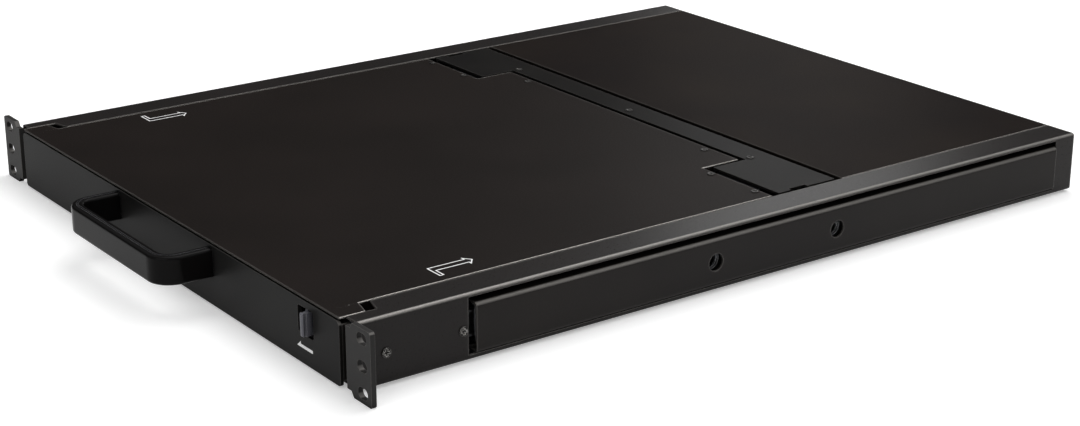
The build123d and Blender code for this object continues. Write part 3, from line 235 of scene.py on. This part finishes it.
# Glass fibre board under solder mask, with copper runs below it and dark chips above
def circuitBoard(name, finish):
    material, tree, shader, place = startMaterial(name, {"Specular IOR Level": 0.5})
    runs = addNode(tree, "ShaderNodeTexBrick", {
        "Color1": (0, 0, 0, 1), "Color2": (0, 0, 0, 1), "Mortar": (1, 1, 1, 1), "Mortar Size": 0.09,
        "Scale": repeats(finish["runMm"]), "Brick Width": 1.7, "Row Height": 0.6}, {"Vector": place})
    printed = addNode(tree, "ShaderNodeMix",
                      {"data_type": "RGBA", 6: toLinear(finish["mask"]), 7: toLinear(finish["copper"])},
                      {0: runs.outputs["Color"]})
    dots = addNode(tree, "ShaderNodeTexVoronoi", {"Scale": repeats(finish["padMm"])}, {"Vector": place})
    solder = addNode(tree, "ShaderNodeMapRange", {"From Min": 0.16, "From Max": 0.2, "To Min": 1.0,
                                                  "To Max": 0.0},
                     {"Value": dots.outputs["Distance"]}).outputs["Result"]
    dotted = addNode(tree, "ShaderNodeMix", {"data_type": "RGBA", 7: toLinear(finish["solder"])},
                     {0: solder, 6: printed.outputs[2]})
    height = addNode(tree, "ShaderNodeSeparateXYZ", links={"Vector": place}).outputs["Z"]
    skin, chips = finish["topMm"] + 0.1, finish["topMm"] + 0.15
    raised = addNode(tree, "ShaderNodeMapRange", {"From Min": skin * mm, "From Max": chips * mm},
                     {"Value": height}).outputs["Result"]
    fitted = addNode(tree, "ShaderNodeMix", {"data_type": "RGBA", 7: toLinear(finish["chip"])},
                     {0: raised, 6: dotted.outputs[2]})
    rough = addNode(tree, "ShaderNodeMapRange", {"To Min": 0.32, "To Max": 0.6}, {"Value": raised})
    tree.links.new(fitted.outputs[2], shader.inputs["Base Color"])
    tree.links.new(rough.outputs["Result"], shader.inputs["Roughness"])
    return material


# Hard coated polariser over the liquid crystal: near black when off, with a faint grid of pixels
def offScreen(name, finish):
    settings = {"Specular IOR Level": 0.5, "Coat Weight": 0.4, "Coat Roughness": 0.12}
    material, tree, shader, place = startMaterial(name, settings)
    grid = addNode(tree, "ShaderNodeTexBrick", {
        "Color1": (1, 1, 1, 1), "Color2": (1, 1, 1, 1), "Mortar": (0, 0, 0, 1), "Mortar Size": 0.08,
        "Scale": repeats(finish["pixelMm"]), "offset": 0.0, "Brick Width": 1.0, "Row Height": 1.0},
        {"Vector": place})
    haze = addNode(tree, "ShaderNodeTexNoise", {"Scale": repeats(finish["hazeMm"]), "Detail": 1.0},
                   {"Vector": place}).outputs["Fac"]
    panel = addNode(tree, "ShaderNodeMix", {"data_type": "RGBA", 6: toLinear(finish["gridColour"])},
                    {0: grid.outputs["Color"], 7: cloudedColour(tree, haze, finish)})
    rough = addNode(tree, "ShaderNodeMapRange", {**noiseSpan, "To Min": 0.18, "To Max": 0.26},
                    {"Value": haze})
    tree.links.new(panel.outputs[2], shader.inputs["Base Color"])
    tree.links.new(rough.outputs["Result"], shader.inputs["Roughness"])
    return material


# Pad printed epoxy ink: matt, slightly uneven where it thins out
def printedInk(name, finish):
    material, tree, shader, place = startMaterial(name, {"Roughness": 0.55, "Specular IOR Level": 0.3})
    thin = addNode(tree, "ShaderNodeTexNoise", {"Scale": repeats(finish["patchMm"]), "Detail": 2.0},
                   {"Vector": place}).outputs["Fac"]
    tree.links.new(cloudedColour(tree, thin, finish), shader.inputs["Base Color"])
    return material


# The edge and fold shares and the edge colour set the painted highlights on edges and folds; gapMm is how
# far the painted gap shade reaches
coat = {
    "cloudMm": 90.0, "grainMm": 1.1, "fleck": 0.3, "fleckColour": "#302c2a", "edgeMm": 0.8, "gapMm": 6.0,
    "edgeHighlightShare": 0.2, "foldHighlightShare": 0.85, "edgeHighlightColour": "#cfcbc6", "rough": 0.46, "roughStep": 0.06,
    "shine": 0.045, "bump": 0.22, "bumpMm": 0.05}
lidCoat = powderCoat("satinPowderCoat", {
    **coat, "dark": "#171311", "light": "#1d1816", "edgeMm": 1.5, "foldHighlightShare": 1.0, "gapMm": 8.0})
coverCoat = powderCoat("satinPowderCoatCover", {
    **coat, "dark": "#1a1615", "light": "#211c19", "shine": 0.015, "edgeMm": 1.2, "gapMm": 9.0})
tubCoat = powderCoat("texturedPowderCoat", {
    **coat, "dark": "#181514", "light": "#1e1a19", "bump": 0.1, "rough": 0.32, "shine": 0.15,
    "edgeMm": 1.5, "foldHighlightShare": 0.4})
earCoat = powderCoat("greyPowderCoat", {
    **coat, "dark": "#2b2a2a", "light": "#323130", "fleckColour": "#3b3a39", "edgeMm": 0.5,
    "foldHighlightShare": 0.2, "rough": 0.5, "shine": 0.1})
panelCoat = powderCoat("frontPowderCoat", {
    **coat, "dark": "#1a1919", "light": "#20201f", "fleckColour": "#2f2d2c", "edgeMm": 0.5,
    "foldHighlightShare": 0.2, "rough": 0.42, "shine": 0.045})
deckCoat = powderCoat("deckPowderCoat", {
    **coat, "dark": "#201f1f", "light": "#262525", "rough": 0.5, "shine": 0.3, "foldHighlightShare": 0.2})
slideCoat = powderCoat("blackenedSlideCoat", {
    **coat, "dark": "#1b1817", "light": "#211e1c", "rough": 0.4, "edgeMm": 1.2, "foldHighlightShare": 0.3,
    "gapMm": 2.0, "shine": 0.12})

# The edge colour and share are a painted highlight on the edges
moulded = {
    "flowMm": 60.0, "grainMm": 0.5, "edgeMm": 0.4, "edgeHighlightShare": 0.3, "edgeHighlightColour": "#5a5a5c", "gapMm": 5.0,
    "rough": 0.42, "roughStep": 0.05, "shine": 0.3, "bump": 0.2, "bumpMm": 0.03}
hingeAbs = mouldedPlastic("mouldedAbsHinge", {
    **moulded, "dark": "#181717", "light": "#1f1e1d", "shine": 0.0165, "gapMm": 9.0,
    "edgeHighlightColour": "#a8a5a2", "edgeHighlightShare": 0.3, "edgeMm": 0.6, "rough": 0.33})
handleAbs = mouldedPlastic("polishedAbsHandle", {
    **moulded, "dark": "#0c0b0b", "light": "#111010", "rough": 0.13, "shine": 0.043, "bump": 0.03,
    "edgeMm": 0.8, "edgeHighlightColour": "#77777a", "edgeHighlightShare": 0.8})
latchAbs = mouldedPlastic("mouldedAbsLatch", {
    **moulded, "dark": "#55555b", "light": "#5f5f66", "edgeHighlightColour": "#b4b4b8", "edgeHighlightShare": 0.6})
blackAbs = mouldedPlastic("mouldedAbsBlack", {**moulded, "dark": "#171718", "light": "#1d1d1e"})
bezelAbs = mouldedPlastic("mouldedAbsBezel", {
    **moulded, "dark": "#18181a", "light": "#1f1f21", "grainMm": 0.7, "rough": 0.5})
keyAbs = mouldedPlastic("doubleShotAbsKeys", {
    **moulded, "dark": "#1d1d1f", "light": "#252527", "rough": 0.5, "edgeHighlightColour": "#434346",
    "edgeMm": 0.5})
padAbs = mouldedPlastic("texturedPadPlastic", {
    **moulded, "dark": "#2c2c2f", "light": "#323236", "rough": 0.55})
buttonAbs = mouldedPlastic("buttonPlastic", {
    **moulded, "dark": "#262628", "light": "#2c2c2f", "rough": 0.4})
releaseAbs = mouldedPlastic("releasePlastic", {
    **moulded, "dark": "#5c5d60", "light": "#666769", "rough": 0.5})
bumperRubber = mouldedPlastic("siliconeRubber", {
    **moulded, "dark": "#1a1a1a", "light": "#212121", "rough": 0.75, "shine": 0.3})
lightUnit = mouldedPlastic("lightUnitPlastic", {
    **moulded, "dark": "#a8a9aa", "light": "#b4b5b6", "rough": 0.45})

steel = {
    "stretch": (1.0, 0.02, 1.0), "lineMm": 0.6, "stainMm": 45.0, "dark": "#8f9092", "light": "#a5a6a8",
    "lineColour": "#77787a", "edgeMm": 0.3, "edgeBright": 0.6, "edgeHighlightColour": "#d8d8da", "rough": 0.34,
    "roughStep": 0.08, "bump": 0.15, "bumpMm": 0.02}
railSteel = workedSteel("zincPlatedRail", steel)
shaftSteel = workedSteel("groundShaftSteel", {**steel, "stretch": (0.02, 1.0, 1.0), "rough": 0.26})
barrelSteel = workedSteel("blackenedBarrelSteel", {
    **steel, "stretch": (0.02, 1.0, 1.0), "dark": "#58585a", "light": "#646466", "lineColour": "#4a4a4c"})
screwSteel = workedSteel("platedScrewSteel", {
    **steel, "stretch": (1.0, 1.0, 1.0), "lineMm": 0.8, "edgeMm": 0.15, "dark": "#7c7c7e",
    "light": "#929294", "rough": 0.3})
# The screws' light edge colour is a painted highlight ring round each head
darkScrew = workedSteel("blackenedScrewSteel", {
    **steel, "stretch": (1.0, 1.0, 1.0), "lineMm": 0.8, "edgeMm": 0.22, "dark": "#2c2b2b",
    "light": "#383736", "lineColour": "#222121", "edgeBright": 0.6, "edgeHighlightColour": "#e2dfda", "rough": 0.4})
earScrew = workedSteel("blackenedEarScrewSteel", {
    **steel, "stretch": (1.0, 1.0, 1.0), "lineMm": 0.8, "edgeMm": 0.45, "dark": "#1c1b1b",
    "light": "#252423", "lineColour": "#171616", "edgeBright": 1.0, "edgeHighlightColour": "#f0ede8", "rough": 0.4})
nickel = workedSteel("nickelPlatedShell", {**steel, "dark": "#a3a29c", "light": "#b5b4ad", "rough": 0.22})
brass = workedSteel("turnedBrass", {
    **steel, "stretch": (1.0, 1.0, 0.05), "dark": "#a9853c", "light": "#c29c4b", "lineColour": "#8d6c2c",
    "edgeHighlightColour": "#e6c77d"})
aluminium = workedSteel("plainAluminium", {**steel, "dark": "#a9abad", "light": "#bcbec0"})
zincSheet = spangledZinc("spangledZincSheet", {
    "crystalMm": 9.0, "dark": "#8d9194", "light": "#b9bdc0", "edgeMm": 0.3, "edgeHighlightColour": "#d4d7d9"})

topMm = {name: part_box(name)[0].z / mm for name in ("interface_board", "display_boards", "supply_board")}
board = {
    "runMm": 2.4, "padMm": 5.0, "mask": "#0f4a26", "copper": "#2a6b3a", "solder": "#b9b9b0",
    "chip": "#17181a"}
interfaceBoard = circuitBoard("solderMaskedBoard", {**board, "topMm": topMm["interface_board"] + 1.6})
displayBoard = circuitBoard("solderMaskedDisplayBoard", {**board, "topMm": topMm["display_boards"] + 9.4})
supplyBoard = circuitBoard("phenolicSupplyBoard", {
    **board, "mask": "#6b4a26", "copper": "#8a6234", "chip": "#20262e",
    "topMm": topMm["supply_board"] + 4.6})
screen = offScreen("offLiquidCrystal", {
    "pixelMm": 1.06, "hazeMm": 120.0, "dark": "#0d0e10", "light": "#121417", "gridColour": "#0c0d0f"})
whiteInk = printedInk("printedWhiteInk", {"patchMm": 4.0, "dark": "#f0f0f0", "light": "#fafafa"})
print("console drawer: finishes made")

finishOf = {
    lidCoat: ["lid_cover"],
    coverCoat: ["rear_cover"],
    tubCoat: ["chassis_base", "rear_panel", "drawer_tray"],
    earCoat: ["rack_ear_left", "rack_ear_right"],
    panelCoat: ["front_panel"],
    deckCoat: ["keyboard_deck"],
    hingeAbs: ["hinge_cover"],
    handleAbs: ["handle"],
    latchAbs: ["latch_slider"],
    blackAbs: ["power_inlet", "switch_frame", "switch_rocker", "key_plate"],
    bezelAbs: ["display_bezel"],
    keyAbs: ["function_keys", "main_keys", "space_key", "navigation_keys", "number_keys"],
    padAbs: ["touchpad"],
    buttonAbs: ["pad_button_left", "pad_button_right", "menu_button_1", "menu_button_2", "menu_button_3"],
    releaseAbs: ["slide_release_left", "slide_release_right"],
    bumperRubber: ["lid_bumpers"],
    lightUnit: ["backlight_frame"],
    slideCoat: ["slide_outer_left", "slide_outer_right"],
    railSteel: ["slide_middles", "slide_inners", "outer_ball_cages", "inner_ball_cages", "latch_striker",
                "display_brackets", "hinge_leaves"],
    shaftSteel: ["hinge_shafts"],
    barrelSteel: ["hinge_housings"],
    screwSteel: ["slide_screws", "handle_screws", "latch_screws", "rear_screws"],
    earScrew: ["ear_screws"],
    darkScrew: ["base_screws", "lid_screws", "hinge_cover_screws"],
    nickel: ["video_port", "usb_port"],
    brass: ["board_standoffs"],
    aluminium: ["slide_spacers"],
    zincSheet: ["power_supply"],
    interfaceBoard: ["interface_board"],
    displayBoard: ["display_boards"],
    supplyBoard: ["supply_board"],
    screen: ["lcd_glass"],
}
for material, names in finishOf.items():
    for name in names:
        for slot in nodes[name].material_slots:
            slot.material = material
print("console drawer: nodes dressed")


def clearSelection():
    if bpy.context.object and bpy.context.object.mode != "OBJECT":
        bpy.ops.object.mode_set(mode="OBJECT")
    bpy.ops.object.select_all(action="DESELECT")


def settle(piece, name, material, body):
    clearSelection()
    piece.select_set(True)
    bpy.context.view_layer.objects.active = piece
    bpy.ops.object.transform_apply(location=True, rotation=True, scale=True)
    piece.name = name
    piece.data.materials.clear()
    piece.data.materials.append(material)
    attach(piece, body)
    return piece


# The two bent arrows, in millimetres on the lid's top sheet
lidArrow = {"shaft": (175.0, 181.0), "leg": (78.7, 82.0), "legEnd": 189.0, "headBase": 104.0,
            "barb": 2.8, "tip": 108.6, "point": 0.02, "step": 0.001, "stroke": 0.85,
            "thick": 0.04, "near": 0.01}


def bentArrow(side, facts):
    clearSelection()
    x0, x1 = facts["shaft"]
    y0, y1 = facts["leg"]
    near, headBase = facts["near"], facts["headBase"]
    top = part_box("lid_cover")[1].z
    bpy.ops.mesh.primitive_plane_add(size=1, location=((x0 + x1) / 2 * mm, (y0 + y1) / 2 * mm, top))
    arrow = bpy.context.object
    bpy.ops.object.mode_set(mode="EDIT")
    bpy.ops.transform.resize(value=((x1 - x0) * mm, (y1 - y0) * mm, 1))
    bpy.context.tool_settings.mesh_select_mode = (False, True, False)

    def pullEdge(test, move, grow=None):
        bpy.ops.mesh.select_all(action="DESELECT")
        bpy.ops.object.mode_set(mode="OBJECT")
        corners = arrow.data.vertices
        for edge in arrow.data.edges:
            ends = [arrow.matrix_world @ corners[i].co for i in edge.vertices]
            edge.select = all(test(end.x / mm, end.y / mm) for end in ends)
        bpy.ops.object.mode_set(mode="EDIT")
        bpy.ops.mesh.extrude_region_move(TRANSFORM_OT_translate={"value": tuple(v * mm for v in move)})
        if grow is not None:
            middle = ((x0 + x1) / 2 * mm, headBase * mm, top)
            bpy.ops.transform.resize(value=(grow, 1, 1), center_override=middle)

    pullEdge(lambda x, y: x > x1 - near, (facts["legEnd"] - x1, 0, 0))
    pullEdge(lambda x, y: y > y1 - near and x < x1 + near, (0, headBase - y1, 0))
    wide = (x1 - x0 + 2 * facts["barb"]) / (x1 - x0)
    pullEdge(lambda x, y: y > headBase - near, (0, facts["step"], 0), wide)
    pullEdge(lambda x, y: y > headBase - near and not x0 - 1 < x < x1 + 1,
             (0, facts["tip"] - headBase, 0), facts["point"])
    bpy.context.tool_settings.mesh_select_mode = (False, False, True)
    bpy.ops.mesh.select_all(action="SELECT")
    bpy.ops.mesh.remove_doubles(threshold=near * mm)
    bpy.ops.mesh.dissolve_limited(angle_limit=math.radians(1))
    bpy.ops.mesh.select_all(action="SELECT")
    bpy.ops.mesh.inset(thickness=facts["stroke"] * mm, depth=0, use_boundary=True, use_even_offset=True)
    bpy.ops.mesh.delete(type="FACE")
    bpy.ops.mesh.select_all(action="SELECT")
    bpy.ops.mesh.extrude_region_move(TRANSFORM_OT_translate={"value": (0, 0, facts["thick"] * mm)})
    bpy.ops.mesh.select_all(action="SELECT")
    if side < 0:
        bpy.ops.transform.resize(value=(-1, 1, 1), center_override=(0, 0, 0))
    bpy.ops.mesh.normals_make_consistent(inside=False)
    bpy.ops.object.mode_set(mode="OBJECT")
    return settle(arrow, "lidArrow" + ("Right" if side > 0 else "Left"), whiteInk, "lid")


for side in (-1, 1):
    bentArrow(side, lidArrow)

# The half arrow printed below the latch, in millimetres on the front panel
latchArrow = {"tip": 163.4, "neck": 167.2, "end": 180.3, "low": -11.2, "high": -9.3, "barb": -7.7,
              "point": 0.04, "step": 0.001, "thick": 0.04}


def halfArrow(facts):
    clearSelection()
    width = facts["neck"] - facts["tip"]
    height = facts["barb"] - facts["low"]
    deep = facts["thick"] * mm
    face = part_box("front_panel")[0].y
    middle = ((facts["tip"] + facts["neck"]) / 2 * mm, face - deep / 2,
              (facts["low"] + facts["barb"]) / 2 * mm)
    bpy.ops.mesh.primitive_cube_add(size=1, location=middle)
    arrow = bpy.context.object
    bpy.ops.object.mode_set(mode="EDIT")
    bpy.ops.transform.resize(value=(width * mm, deep, height * mm))
    bpy.context.tool_settings.mesh_select_mode = (False, False, True)

    def pickEnd(side):
        bpy.ops.mesh.select_all(action="DESELECT")
        bpy.ops.object.mode_set(mode="OBJECT")
        for face in arrow.data.polygons:
            face.select = side * face.normal.x > 0.9
        bpy.ops.object.mode_set(mode="EDIT")

    base = (0, 0, facts["low"] * mm)
    pickEnd(-1)
    bpy.ops.transform.resize(value=(1, 1, facts["point"]), center_override=base)
    pickEnd(1)
    bpy.ops.mesh.extrude_region_move(TRANSFORM_OT_translate={"value": (facts["step"] * mm, 0, 0)})
    bpy.ops.transform.resize(value=(1, 1, (facts["high"] - facts["low"]) / height), center_override=base)
    shaft = (facts["end"] - facts["neck"]) * mm
    bpy.ops.mesh.extrude_region_move(TRANSFORM_OT_translate={"value": (shaft, 0, 0)})
    bpy.ops.object.mode_set(mode="OBJECT")
    return settle(arrow, "latchArrow", whiteInk, "drawer")


halfArrow(latchArrow)

# The two marks on the mains rocker: it rests tipped, and each half of its face slopes to the middle
rockerMarks = {"pivotDepth": 5.0, "out": 4.8, "away": 3.5, "slope": 12.87, "tipped": 10.0, "ring": 1.5,
               "stroke": 0.4, "barLength": 3.0, "thick": 0.06}


def rockerMark(half, facts):
    clearSelection()
    low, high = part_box("switch_frame")
    tipped = math.radians(facts["tipped"])
    away = half * facts["away"]
    deep = facts["pivotDepth"] - facts["out"] * math.cos(tipped) - away * math.sin(tipped)
    drop = facts["out"] * math.sin(tipped) - away * math.cos(tipped)
    place = ((low.x + high.x) / 2, high.y - deep * mm, (low.z + high.z) / 2 - drop * mm)
    turn = (-tipped - half * math.radians(facts["slope"]) - math.pi / 2, 0, 0)
    if half > 0:
        bpy.ops.mesh.primitive_cube_add(size=1, location=place, rotation=turn)
        shape = (facts["stroke"] * mm, facts["barLength"] * mm, facts["thick"] * mm)
    else:
        bpy.ops.mesh.primitive_torus_add(
            location=place, rotation=turn, major_radius=facts["ring"] * mm,
            minor_radius=facts["stroke"] / 2 * mm, major_segments=32, minor_segments=8)
        shape = (1, 1, facts["thick"] / facts["stroke"])
    bpy.context.object.scale = shape
    return settle(bpy.context.object, "rockerMark" + ("On" if half > 0 else "Off"), whiteInk, "rocker")


for half in (1, -1):
    rockerMark(half, rockerMarks)

print("console drawer: marks printed")


# Rows from the function row forwards: each key's legend and its width in pitches, a minus is a gap
keyboard = {
    "pitch": 18.4, "front": 112.0, "padGap": 6.4, "top": 1.0,
    "dishRadius": 30.0, "dishDepth": 0.6, "dishEdge": 20.0,
    "letter": 4.6, "word": 2.9, "fromLeft": 2.9, "aboveMiddle": 5.4, "thick": 0.03,
    "rows": [
        [("Esc", 1), ("", -0.5), ("F1", 1), ("F2", 1), ("F3", 1), ("F4", 1), ("", -0.25), ("F5", 1),
         ("F6", 1), ("F7", 1), ("F8", 1), ("", -0.25), ("F9", 1), ("F10", 1), ("F11", 1),
         ("F12", 1), ("Del", 1)],
        [(c, 1) for c in "`1234567890-="] + [("Back", 2)],
        [("Tab", 1.5)] + [(c, 1) for c in "QWERTYUIOP[]"] + [("\\", 1.5)],
        [("Caps", 1.75)] + [(c, 1) for c in "ASDFGHJKL;'"] + [("Enter", 2.25)],
        [("Shift", 2.25)] + [(c, 1) for c in "ZXCVBNM,./"] + [("Shift", 1.75), ("Up", 1)],
        [("Ctrl", 1.25), ("Fn", 1.25), ("Alt", 1.25), ("", 5.25), ("Alt", 1), ("Menu", 1), ("Ctrl", 1),
         ("Left", 1), ("Down", 1), ("Right", 1)],
    ],
    "padRows": [
        [("Ins", 1), ("Home", 1), ("PgUp", 1), ("PgDn", 1)],
        [("Num", 1), ("/", 1), ("*", 1), ("-", 1)],
        [("7", 1), ("8", 1), ("9", 1), ("+", 1)],
        [("4", 1), ("5", 1), ("6", 1), ("+", 1)],
        [("1", 1), ("2", 1), ("3", 1), ("Ent", 1)],
        [("0", 2), (".", 1), ("Ent", 1)],
    ],
}


def legendPlaces(facts):
    pitch = facts["pitch"]
    start = -(15 * pitch + facts["padGap"] + 4 * pitch) / 2
    padStart = start + 15 * pitch + facts["padGap"]
    places = []
    for number, (row, padRow) in enumerate(zip(facts["rows"], facts["padRows"])):
        y = facts["front"] + (len(facts["rows"]) - 0.5 - number) * pitch
        for keys, x, pad in ((row, start, False), (padRow, padStart, True)):
            for text, width in keys:
                middle = x + abs(width) * pitch / 2
                x += abs(width) * pitch
                if width < 0 or not text:
                    continue
                if pad:
                    body = "navigation_key_group" if number == 0 else "number_key_group"
                elif number == 0:
                    body = "function_key_group"
                elif text in ("Up", "Left", "Down", "Right"):
                    body = "navigation_key_group"
                else:
                    body = "main_key_group"
                places.append((text, middle, y, width, body))
    return places


def keyLegends(facts):
    groups = {}
    for text, x, y, width, body in legendPlaces(facts):
        clearSelection()
        bpy.ops.object.text_add()
        legend = bpy.context.object
        legend.data.body = text
        legend.data.size = (facts["letter"] if len(text) == 1 else facts["word"]) * mm
        legend.data.resolution_u = 2
        legend.data.extrude = facts["thick"] * mm / 2
        legend.data.align_x = "LEFT"
        legend.data.align_y = "TOP"
        bpy.ops.object.convert(target="MESH")
        legend = bpy.context.object
        left = -width * facts["pitch"] / 2 + facts["fromLeft"]
        for vertex in legend.data.vertices:
            across = left + vertex.co.x / mm
            dish = facts["top"] - facts["dishDepth"] + facts["dishRadius"]
            dish -= math.sqrt(facts["dishRadius"] ** 2 - min(abs(across), facts["dishEdge"]) ** 2)
            lift = min(facts["top"], dish) + facts["thick"] / 2
            vertex.co = ((x + across) * mm, (y + facts["aboveMiddle"]) * mm + vertex.co.y,
                         lift * mm + vertex.co.z)
        groups.setdefault(body, []).append(legend)
    for body, legends in groups.items():
        clearSelection()
        for legend in legends:
            legend.select_set(True)
        bpy.context.view_layer.objects.active = legends[0]
        bpy.ops.object.join()
        bpy.ops.object.mode_set(mode="EDIT")
        bpy.ops.mesh.select_all(action="SELECT")
        bpy.ops.mesh.remove_doubles(threshold=0.001 * mm)
        bpy.ops.object.mode_set(mode="OBJECT")
        settle(bpy.context.object, "legends_" + body, whiteInk, body)


keyLegends(keyboard)
print("console drawer: key legends printed")


# The white floor, the sky and the lamps, in metres and watts
studio = {"floor": 6.0, "floorMiddle": 0.3, "floorColour": "#eeeeee", "floorLift": 0.35, "whiteFrom": 1.1,
          "whiteTo": 2.2, "skyLow": 0.03, "skyHigh": 0.6}
lamps = {
    "keySoftbox": {"power": 25.0, "size": (1.8, 1.8), "place": (-0.2, 0.8, 1.7), "aim": (0, 0.25, 0)},
    "fillSoftbox": {"power": 8.0, "size": (1.6, 0.8), "place": (0.7, -1.5, 0.9), "aim": (0.1, 0, 0)},
    "rimSoftbox": {"power": 2.0, "size": (0.5, 1.6), "place": (1.5, 0.6, 0.9), "aim": (0.2, 0.3, 0)},
    "backSoftbox": {"power": 1.3, "size": (0.4, 0.4), "place": (-1.32, 1.76, 0.75), "aim": (0.2, 0.34, 0)},
}
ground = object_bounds()[0].z


def whiteFloor(facts):
    clearSelection()
    bpy.ops.mesh.primitive_plane_add(size=2 * facts["floor"], location=(0, facts["floorMiddle"], ground))
    floor = bpy.context.object
    floor.name = "studioFloor"
    material = bpy.data.materials.new("matPaperFloor")
    material.use_nodes = True
    tree = material.node_tree
    tree.nodes.clear()
    paper = addNode(tree, "ShaderNodeBsdfDiffuse", {"Color": toLinear(facts["floorColour"])})
    path = addNode(tree, "ShaderNodeLightPath")
    mirrored = addNode(tree, "ShaderNodeMath", {"operation": "MAXIMUM"},
                       {0: path.outputs["Is Glossy Ray"], 1: path.outputs["Is Transmission Ray"]})
    seen = addNode(tree, "ShaderNodeMath", {"operation": "MAXIMUM"},
                   {0: path.outputs["Is Camera Ray"], 1: mirrored.outputs[0]})
    place = addNode(tree, "ShaderNodeTexCoord").outputs["Object"]
    away = addNode(tree, "ShaderNodeVectorMath", {"operation": "LENGTH"}, {0: place})
    distant = addNode(tree, "ShaderNodeMapRange",
                      {"From Min": facts["whiteFrom"], "From Max": facts["whiteTo"]},
                      {"Value": away.outputs["Value"]}).outputs["Result"]
    horizon = addNode(tree, "ShaderNodeMath", {"operation": "MULTIPLY"},
                      {0: distant, 1: path.outputs["Is Camera Ray"]})
    lift = addNode(tree, "ShaderNodeMath", {"operation": "MULTIPLY_ADD", 1: facts["floorLift"]},
                   {0: seen.outputs[0], 2: horizon.outputs[0]})
    glow = addNode(tree, "ShaderNodeEmission", {"Color": (1, 1, 1, 1)}, {"Strength": lift.outputs[0]})
    both = addNode(tree, "ShaderNodeAddShader", links={0: paper.outputs[0], 1: glow.outputs[0]})
    addNode(tree, "ShaderNodeOutputMaterial", links={"Surface": both.outputs[0]})
    floor.data.materials.append(material)


def turnTo(thing, place, aim):
    thing.location = place
    thing.rotation_euler = (Vector(aim) - Vector(place)).to_track_quat("-Z", "Y").to_euler()


def softbox(name, facts):
    light = bpy.data.lights.new(name, "AREA")
    light.energy = facts["power"]
    light.shape = "RECTANGLE"
    light.size, light.size_y = facts["size"]
    lamp = bpy.data.objects.new(name, light)
    bpy.context.scene.collection.objects.link(lamp)
    turnTo(lamp, facts["place"], facts["aim"])


def softWorld(facts):
    world = bpy.data.worlds.new("studioWorld")
    bpy.context.scene.world = world
    world.use_nodes = True
    tree = world.node_tree
    tree.nodes.clear()
    direction = addNode(tree, "ShaderNodeTexCoord").outputs["Generated"]
    height = addNode(tree, "ShaderNodeSeparateXYZ", links={"Vector": direction}).outputs["Z"]
    dome = addNode(tree, "ShaderNodeMapRange", {
        "From Min": 0.3, "From Max": 0.9, "To Min": facts["skyLow"], "To Max": facts["skyHigh"]},
        {"Value": height}).outputs["Result"]
    path = addNode(tree, "ShaderNodeLightPath")
    shown = addNode(tree, "ShaderNodeMath", {"operation": "MAXIMUM"},
                    {0: dome, 1: path.outputs["Is Camera Ray"]})
    sky = addNode(tree, "ShaderNodeBackground", {"Color": (1, 1, 1, 1)}, {"Strength": shown.outputs[0]})
    addNode(tree, "ShaderNodeOutputWorld", links={"Surface": sky.outputs[0]})


whiteFloor(studio)
softWorld(studio)
for name, facts in lamps.items():
    softbox(name, facts)

# The photograph's own perspective, in metres
view = {"lens": 71.343, "sensor": 36.0, "place": (1.131546, -0.537229, 0.459426),
        "aim": (0.092195, 0.218975, 0.0)}
eye = bpy.data.cameras.new("photoCamera")
eye.lens = view["lens"]
eye.sensor_width = view["sensor"]
camera = bpy.data.objects.new("photoCamera", eye)
bpy.context.scene.collection.objects.link(camera)
turnTo(camera, view["place"], view["aim"])
bpy.context.scene.camera = camera
bpy.context.scene.view_settings.view_transform = "Standard"
print("console drawer: studio set")
